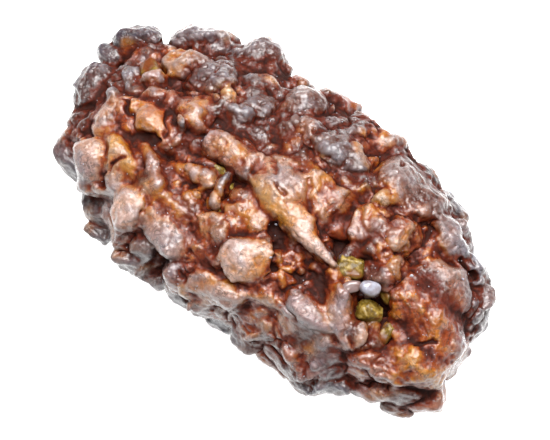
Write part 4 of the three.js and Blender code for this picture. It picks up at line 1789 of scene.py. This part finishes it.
    def rise(self, points: Array, edges: Array, normals: Array, first: Array, second: Array) -> Array:
        """Ranks the points from the deepest crease, at 0, to the barest crown, at 1; the painted shade of the
        creases and the paler crowns, partly painted sheen, follow this rank.

        Args:
            points: The skin's points.
            edges: Pairs of joined points.
            normals: The points' normals.
            first: How far each point lies outside its own piece.
            second: How far it lies outside the next piece.

        Returns:
            One rank for each point.
        """
        score = np.zeros(len(points))
        smooth = points
        done = 0
        for rounds, weight in self.lift_rounds:
            while done < rounds:
                smooth = neighbour_mean(smooth, edges, len(points))
                done += 1
            lift = ((points - smooth) * normals).sum(axis=1)
            score += weight * np.clip(lift / lift.std(), -3, 3)
        # Painted shade and sheen: the middles of pieces rank higher, and the gaps between them, the deep
        # hollows and the creases where two meet rank lower.
        score += 1.4 * smoothstep(-0.2, 2.6, second - first) - 0.6 * smoothstep(0.2, 1.5, first)
        score -= 1.2 * smoothstep(1.5, 5.5, self.oval.sunk(points))
        score += 0.3 * self.calm(points) - 0.4 * smoothstep(self.crags.crease_reach, 0.0, second - first)
        for *spot, amount in TONE_SPOTS:
            score += amount * spot_share(points, *spot, self.tone_core)
        for size, weight in self.tone_swells:
            score += weight * LatticeNoise(41).at(points, size)
        # Painted shade in the grooves.
        for groove in GROOVES:
            score -= self.groove_shade * groove.dark * groove.share(points)
        ranks = np.empty(len(points))
        ranks[np.argsort(score)] = np.linspace(0, 1, len(points))
        return ranks

    def dress(self, finish: GlazedCrust) -> None:
        """Colours every point by the piece that it lies on and by its rank from crease to crown, with painted
        shade in the creases and paler crowns, partly painted sheen, and sets the material.

        Args:
            finish: The crust's finish.
        """
        mesh = self.piece.data
        points = self.to_oval(read_points(mesh))
        edges = read_edges(mesh)
        owner, first, second = self.owners(points - self.bends.shift(points))
        rise = self.rise(points, edges, read_normals(mesh), first, second)
        ramp = self.piece_colours(points, edges, owner, finish)
        char, foot, veil_and_sheen = (np.broadcast_to(linear(name)[:3], points.shape)
                            for name in (finish.char, finish.foot, finish.veil_and_sheen))
        # Painted shade: near black in the creases, darker at the foot of each piece; the crowns are paler,
        # partly as painted sheen.
        colour = char.copy()
        stops = itertools.pairwise(self.tone_stops)
        for (low, high), ahead in zip(stops, (foot, ramp[:, 2], ramp[:, 1], ramp[:, 0])):
            share = np.clip((rise - low) / (high - low), 0, 1)[:, None]
            colour = colour * (1 - share) + ahead * share
        # The pale film: set glaze, partly painted sheen and painted reflection.
        colour += self.film(points, rise)[:, None] * (veil_and_sheen - colour)
        write_colour(mesh, "crust_colour_and_painted_light", np.clip(colour, 0, 1))
        write_value(mesh, "rise", rise)
        coat(self.piece, finish.build())
        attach(self.piece, BODY)
        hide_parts("dough")

    def piece_colours(self, points: Array, edges: Array, owner: Array, finish: GlazedCrust) -> Array:
        """Gives the three colours at every point, mixed a little between pieces; the crown's pale colour is
        partly painted sheen.

        Args:
            points: The skin's points.
            edges: Pairs of joined points.
            owner: The number of the piece that each point lies on.
            finish: The crust's finish.

        Returns:
            The crown's, the glow's and the flank's linear colour for each point.
        """
        tints = list(Tint)
        ramps = np.array([[linear(colour)[:3] for colour in tint.value] for tint in tints])
        ramp = ramps[np.array([tints.index(lump.tint) for lump in self.lumps])[owner]].reshape(-1, 9)
        calm = self.calm(points)[:, None]
        rounds, everywhere = self.mixing
        for i in range(rounds):
            ramp += (1 if i < everywhere else calm) * (neighbour_mean(ramp, edges, len(points)) - ramp)
        ramp = ramp.reshape(-1, 3, 3)
        swing = LatticeNoise(71).at(points, self.swing_mm)
        for spots, sign in ((WARM_SPOTS, 1), (COOL_SPOTS, -1)):
            for spot in spots:
                swing += sign * self.swing_gain * spot_share(points, *spot, self.swing_core)
        for colours, amount in ((finish.warm, swing), (finish.cool, -swing)):
            share = self.swing_most * smoothstep(0.0, 0.6, amount)[:, None, None]
            ramp[:, 1:] += share * (np.array([linear(name)[:3] for name in colours]) - ramp[:, 1:])
        return ramp

    def film(self, points: Array, rise: Array) -> Array:
        """Gives how far a pale, greyish film covers the dough: partly set glaze, and partly painted sheen on
        raised parts and painted reflection along the rim.

        Args:
            points: The skin's points.
            rise: The points' ranks from crease to crown.

        Returns:
            One share for each point.
        """
        # Painted reflection along the rim.
        rim = smoothstep(-1.0, -3.0, points[:, 2] - self.oval.girth_level - 6)
        clouds = smoothstep(0.1, 0.55, LatticeNoise(53).at(points, self.film_mm))
        film = np.maximum(self.film_noise * clouds, self.film_rim_reflection * rim)
        for spot in FILM_SPOTS:
            film += self.film_spot * spot_share(points, *spot, self.film_core)
        # Only on raised parts, as painted sheen.
        film *= smoothstep(0.3, 0.75, rise)
        return np.minimum(film, self.film_most)


@dataclass
class AppleDice:
    """The dice of apple that show in the gaps of the dough."""

    nodes: tuple[str, ...] = (
        "apple_middle", "apple_sliver", "apple_left", "apple_top",
        "apple_right", "apple_cube", "apple_wedge", "apple_end",
    )
    # How much further up each die turns brown.
    browned_higher: dict[str, float] = field(default_factory=lambda: {
        "apple_left": 0.4, "apple_end": 0.2, "apple_right": 0.1, "apple_wedge": 0.15})
    flats: int = 6
    voxel_mm: float = 0.35
    wrinkle_mm: float = 0.35
    swells: tuple = ((2.4, 0.7), (1.0, 0.4))
    seed: int = 19
    pieces: list[bpy.types.Object] = field(default_factory=list)

    def build(self, solids: dict[str, bpy.types.Object]) -> None:
        """Models each die over its solid, with the soft, uneven faces of cooked apple.

        Args:
            solids: The solids' objects by name.
        """
        noise = LatticeNoise(5)
        draws = np.random.default_rng(self.seed)
        for name in self.nodes:
            piece = copy_solid(solids[name], f"{name}_flesh")
            mesh = piece.data
            apply_modifier(piece, "REMESH", mode="VOXEL", voxel_size=self.voxel_mm * MM)
            points = self.hewn(read_points(mesh) / MM, draws)
            normals = read_normals(mesh)
            push = self.wrinkle_mm * sum(height * noise.at(points, width) for width, height in self.swells)
            points = points + normals * push[:, None]
            write_points(mesh, points * MM)
            # Browner towards the foot of each die.
            depth = (points[:, 2].max() - points[:, 2]) / np.ptp(points[:, 2])
            depth += 0.5 * noise.at(points, 2.6) + self.browned_higher.get(name, 0)
            write_value(mesh, "browning", 0.9 * smoothstep(0.2, 0.7, depth))
            self.pieces.append(piece)

    def hewn(self, points: Array, draws: np.random.Generator) -> Array:
        """Cuts flats off a die's corners, as a knife leaves them.

        Args:
            points: The die's points in millimetres.
            draws: Where the flats' ways are drawn from.

        Returns:
            The points with the flats.
        """
        middle = (points.max(axis=0) + points.min(axis=0)) / 2
        half = np.ptp(points, axis=0) / 2
        unit = (points - middle) / half
        for _ in range(self.flats):
            way = draws.normal(size=3)
            way[2] = abs(way[2])
            way /= np.linalg.norm(way)
            over = unit @ way - draws.uniform(0.75, 1.0)
            unit = unit - np.outer(0.95 * np.maximum(over, 0), way)
        return middle + unit * half

    def dress(self, finish: CookedApple) -> None:
        """Sets the material and the body of each die.

        Args:
            finish: The finish of the apple.
        """
        material = finish.build()
        for name, piece in zip(self.nodes, self.pieces):
            coat(piece, material)
            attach(piece, BODY)
            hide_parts(name)


@dataclass(frozen=True)
class SetGlaze:
    """Sugar glaze that has set thick: bluish white, waxy and very shiny."""

    sugar: str = "#80808a"
    shadow: str = "#6a6266"
    thin: str = "#5e4238"  # the dough tints it where it is thin
    swirl_mm: float = 1.4

    def build(self) -> bpy.types.Material:
        """Builds the material.

        Returns:
            The material.
        """
        material, shader = new_material("set_sugar_glaze")
        place = add_node(material, "ShaderNodeTexCoord").outputs["Object"]
        swirl = add_node(material, "ShaderNodeTexNoise", inputs={
            "Vector": place, "Scale": 1 / (self.swirl_mm * MM), "Detail": 3.0, "Roughness": 0.5})
        ramp = add_node(material, "ShaderNodeValToRGB", inputs={"Fac": swirl.outputs["Fac"]})
        ramp.color_ramp.elements[0].position = 0.35
        ramp.color_ramp.elements[0].color = linear(self.shadow)
        ramp.color_ramp.elements[1].position = 0.6
        ramp.color_ramp.elements[1].color = linear(self.sugar)
        thin = add_node(material, "ShaderNodeAttribute", {"attribute_name": "thin"})
        sugar = add_node(material, "ShaderNodeMix", {"data_type": "RGBA"}, {
            0: thin.outputs["Fac"], 6: ramp.outputs["Color"], 7: linear(self.thin)})
        fill_sockets(material, shader, {
            "Base Color": sugar.outputs[2],
            "Roughness": 0.25,
            "IOR": 1.5,
            "Subsurface Weight": 0.3,
            "Subsurface Radius": (1.0, 0.9, 0.8),
            "Subsurface Scale": 1.0 * MM,
            "Coat Weight": 0.5,
            "Coat Roughness": 0.1,
        })
        return material


@dataclass(frozen=True)
class Bead:
    """One drop of set glaze on top: its plan place, length, width, turn and how far it stands out."""

    x: float
    y: float
    length: float
    width: float
    turn: float
    proud: float
    thin: float = 0.0


BEADS = (
    Bead(32.7, -4.6, 5.0, 4.0, 10, 3.9),
    Bead(29.0, -6.6, 5.0, 3.0, 40, 2.2, 0.75),
    Bead(5.0, -5.8, 0.8, 0.6, 10, 0.35),
    Bead(38.5, 4.7, 0.9, 0.7, 15, 0.4),
    Bead(48.0, 13.0, 0.8, 0.6, 0, 0.35),
    Bead(10.0, -14.0, 0.8, 0.6, 35, 0.35),
)


@dataclass
class GlazeDrops:
    """Drops of glaze that set on the dough, and the sugar grains that glint over its top."""

    grain_count: int = 260
    grain_mm: tuple[float, float] = (0.18, 0.32)
    grain_stretch: tuple[float, float] = (1, 1.8)
    grain_proud: float = 0.6
    grain_limit: float = 0.98
    seed: int = 77
    pieces: list[bpy.types.Object] = field(default_factory=list)

    def build(self, dough: DoughCrust) -> None:
        """Sets the drops and grains on the dough's skin.

        Args:
            dough: The finished dough.
        """
        mesh = dough.piece.data
        skin = BVHTree.FromPolygons(
            [tuple(point) for point in read_points(mesh)], [tuple(face.vertices) for face in mesh.polygons])
        ball, faces = unit_ball(3)
        noise = LatticeNoise(61)
        drops = []
        for bead in BEADS:
            lump = self.on_skin(skin, dough, bead)
            shaped = lump.shell(ball, 1)
            drops.append(shaped + 0.1 * bead.width * noise.shift(shaped, 0.8 * bead.width))
        self.add("glaze_beads", dough, drops, faces)
        write_value(self.pieces[0].data, "thin", np.repeat([bead.thin for bead in BEADS], len(ball)))
        draws = np.random.default_rng(self.seed)
        crystal, sides = unit_ball(1)
        grains = []
        while len(grains) < self.grain_count:
            x, y = dough.oval.scattered(draws, self.grain_limit)
            size = draws.uniform(*self.grain_mm)
            length = size * draws.uniform(*self.grain_stretch)
            grain = Bead(x, y, length, size, draws.uniform(0, 180), self.grain_proud * size)
            lump = self.on_skin(skin, dough, grain)
            if lump is not None:
                grains.append(lump.shell(crystal, 0))
        self.add("sugar_grains", dough, grains, sides)

    @staticmethod
    def on_skin(skin: BVHTree, dough: DoughCrust, bead: Bead) -> Lump | None:
        """Sets a drop where a line straight down meets the dough.

        Args:
            skin: The dough's skin.
            dough: The dough.
            bead: The drop.

        Returns:
            The drop in place, or nothing where the line misses the dough.
        """
        start = dough.to_frame(np.array([[bead.x, bead.y, 60.0]]))[0]
        place, normal, _, _ = skin.ray_cast(Vector(start), Vector((0, 0, -1)))
        if place is None:
            return None
        out = np.array(normal) + np.array([0, 0, 0.3])
        out /= np.linalg.norm(out)
        half = np.array([bead.length, bead.width, 0.9 * bead.width]) / 2
        middle = dough.to_oval(np.array([place]))[0] + out * (bead.proud - half[2])
        axes = Lump.turned_axes(out, np.array([1.0, 0.2, 0]), bead.turn)
        return Lump(middle, axes, half, Tint.GREY, power=2.2)

    def add(self, name: str, dough: DoughCrust, shells: list[Array], faces: Array) -> None:
        """Joins shells into one piece.

        Args:
            name: The piece's name.
            dough: The dough that carries it.
            shells: Points of each shell.
            faces: The triangles of one shell.
        """
        rows = np.vstack([faces + i * len(shells[0]) for i in range(len(shells))])
        self.pieces.append(mesh_object(name, dough.to_frame(np.vstack(shells)), rows))

    def dress(self, finish: SetGlaze) -> None:
        """Sets the material and the body of the drops and grains.

        Args:
            finish: The finish of set glaze.
        """
        material = finish.build()
        for piece in self.pieces:
            coat(piece, material)
            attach(piece, BODY)


@dataclass
class Studio:
    """The plain pale floor, the soft light and the camera."""

    azimuth: float = 39
    elevation: float = 70
    target_mm: tuple[float, float, float] = (1.15, -0.42, 18)
    distance_mm: float = 550
    lens: float = 144
    rise_px: float = 4
    frame_px: tuple[int, int] = (550, 440)
    floor_size: float = 3.0
    floor_glow: float = 0.85  # lit from below as a light table is, so that no shadow shows
    paper: str = "#d4d4d4"
    room: str = "#fff8f4"
    room_glow: float = 0.35
    lamps: tuple = (  # name, place, size and power
        ("key", (-0.1, 0.2, 0.8), 0.6, 20.5),
        ("glint_right", (0.25, 0.1, 0.95), 0.15, 2.0),
        ("glint_left", (-0.4, -0.1, 0.85), 0.15, 2.0),
        ("glint_back", (0.0, 0.5, 0.8), 0.15, 2.0),
        ("glint_front", (0.35, -0.35, 0.8), 0.15, 2.0),
    )

    def build(self) -> None:
        """Sets the floor, the light and the camera."""
        self.floor()
        self.light()
        self.camera()

    def floor(self) -> None:
        """Lays the floor."""
        clear_selection()
        bpy.ops.mesh.primitive_plane_add(size=self.floor_size)
        floor = bpy.context.object
        floor.name = "studio_floor"
        # As if dark cards stood round the fritter, so that its sides stay deep brown.
        floor.visible_diffuse = False
        material, shader = new_material("white_paper")
        fill_sockets(material, shader, {
            "Base Color": linear(self.paper),
            "Roughness": 0.9,
            "Emission Color": linear("#ffffff"),
            "Emission Strength": self.floor_glow,
        })
        floor.data.materials.append(material)

    def light(self) -> None:
        """Hangs a wide soft light and four small ones over the fritter, in a white room."""
        scene = bpy.context.scene
        world = bpy.data.worlds.new("white_room")
        world.use_nodes = True
        background = world.node_tree.nodes["Background"]
        background.inputs["Color"].default_value = linear(self.room)
        background.inputs["Strength"].default_value = self.room_glow
        scene.world = world
        for name, place, size, power in self.lamps:
            lamp = bpy.data.objects.new(name, bpy.data.lights.new(name, "AREA"))
            lamp.data.size = size
            lamp.data.energy = power
            lamp.location = place
            lamp.rotation_euler = (-Vector(place)).to_track_quat("-Z", "Y").to_euler()
            scene.collection.objects.link(lamp)
        scene.view_settings.view_transform = "Standard"
        scene.view_settings.exposure = 0.0

    def camera(self) -> None:
        """Sets the camera at the photograph's viewing angle."""
        around = math.radians(self.azimuth)
        above = math.radians(self.elevation)
        flat = math.cos(above)
        back = Vector((math.sin(around) * flat, -math.cos(around) * flat, math.sin(above)))
        right = Vector((math.cos(around), math.sin(around), 0))
        up = back.cross(right)
        camera = bpy.data.objects.new("camera", bpy.data.cameras.new("camera"))
        bpy.context.scene.collection.objects.link(camera)
        target = Vector(self.target_mm) * MM
        turn = Matrix((right, up, back)).transposed().to_4x4()
        camera.matrix_world = Matrix.Translation(target + back * self.distance_mm * MM) @ turn
        camera.data.lens = self.lens
        camera.data.clip_start = 0.01
        camera.data.shift_y = -self.rise_px / self.frame_px[0]
        bpy.context.scene.camera = camera


def main() -> None:
    """Builds the fritter's pieces in order and reports each one."""
    logging.basicConfig(level=logging.INFO, format="%(name)s: %(message)s")
    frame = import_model()
    dough = DoughCrust()
    dough.build(frame["nodes"]["dough"])
    dough.dress(GlazedCrust())
    log.info("dough: %d points", len(dough.piece.data.vertices))
    dice = AppleDice()
    dice.build(frame["nodes"])
    dice.dress(CookedApple())
    log.info("apple: %d dice", len(dice.pieces))
    drops = GlazeDrops()
    drops.build(dough)
    drops.dress(SetGlaze())
    log.info("glaze: %d pieces", len(drops.pieces))
    Studio().build()


if __name__ == "__main__":
    main()
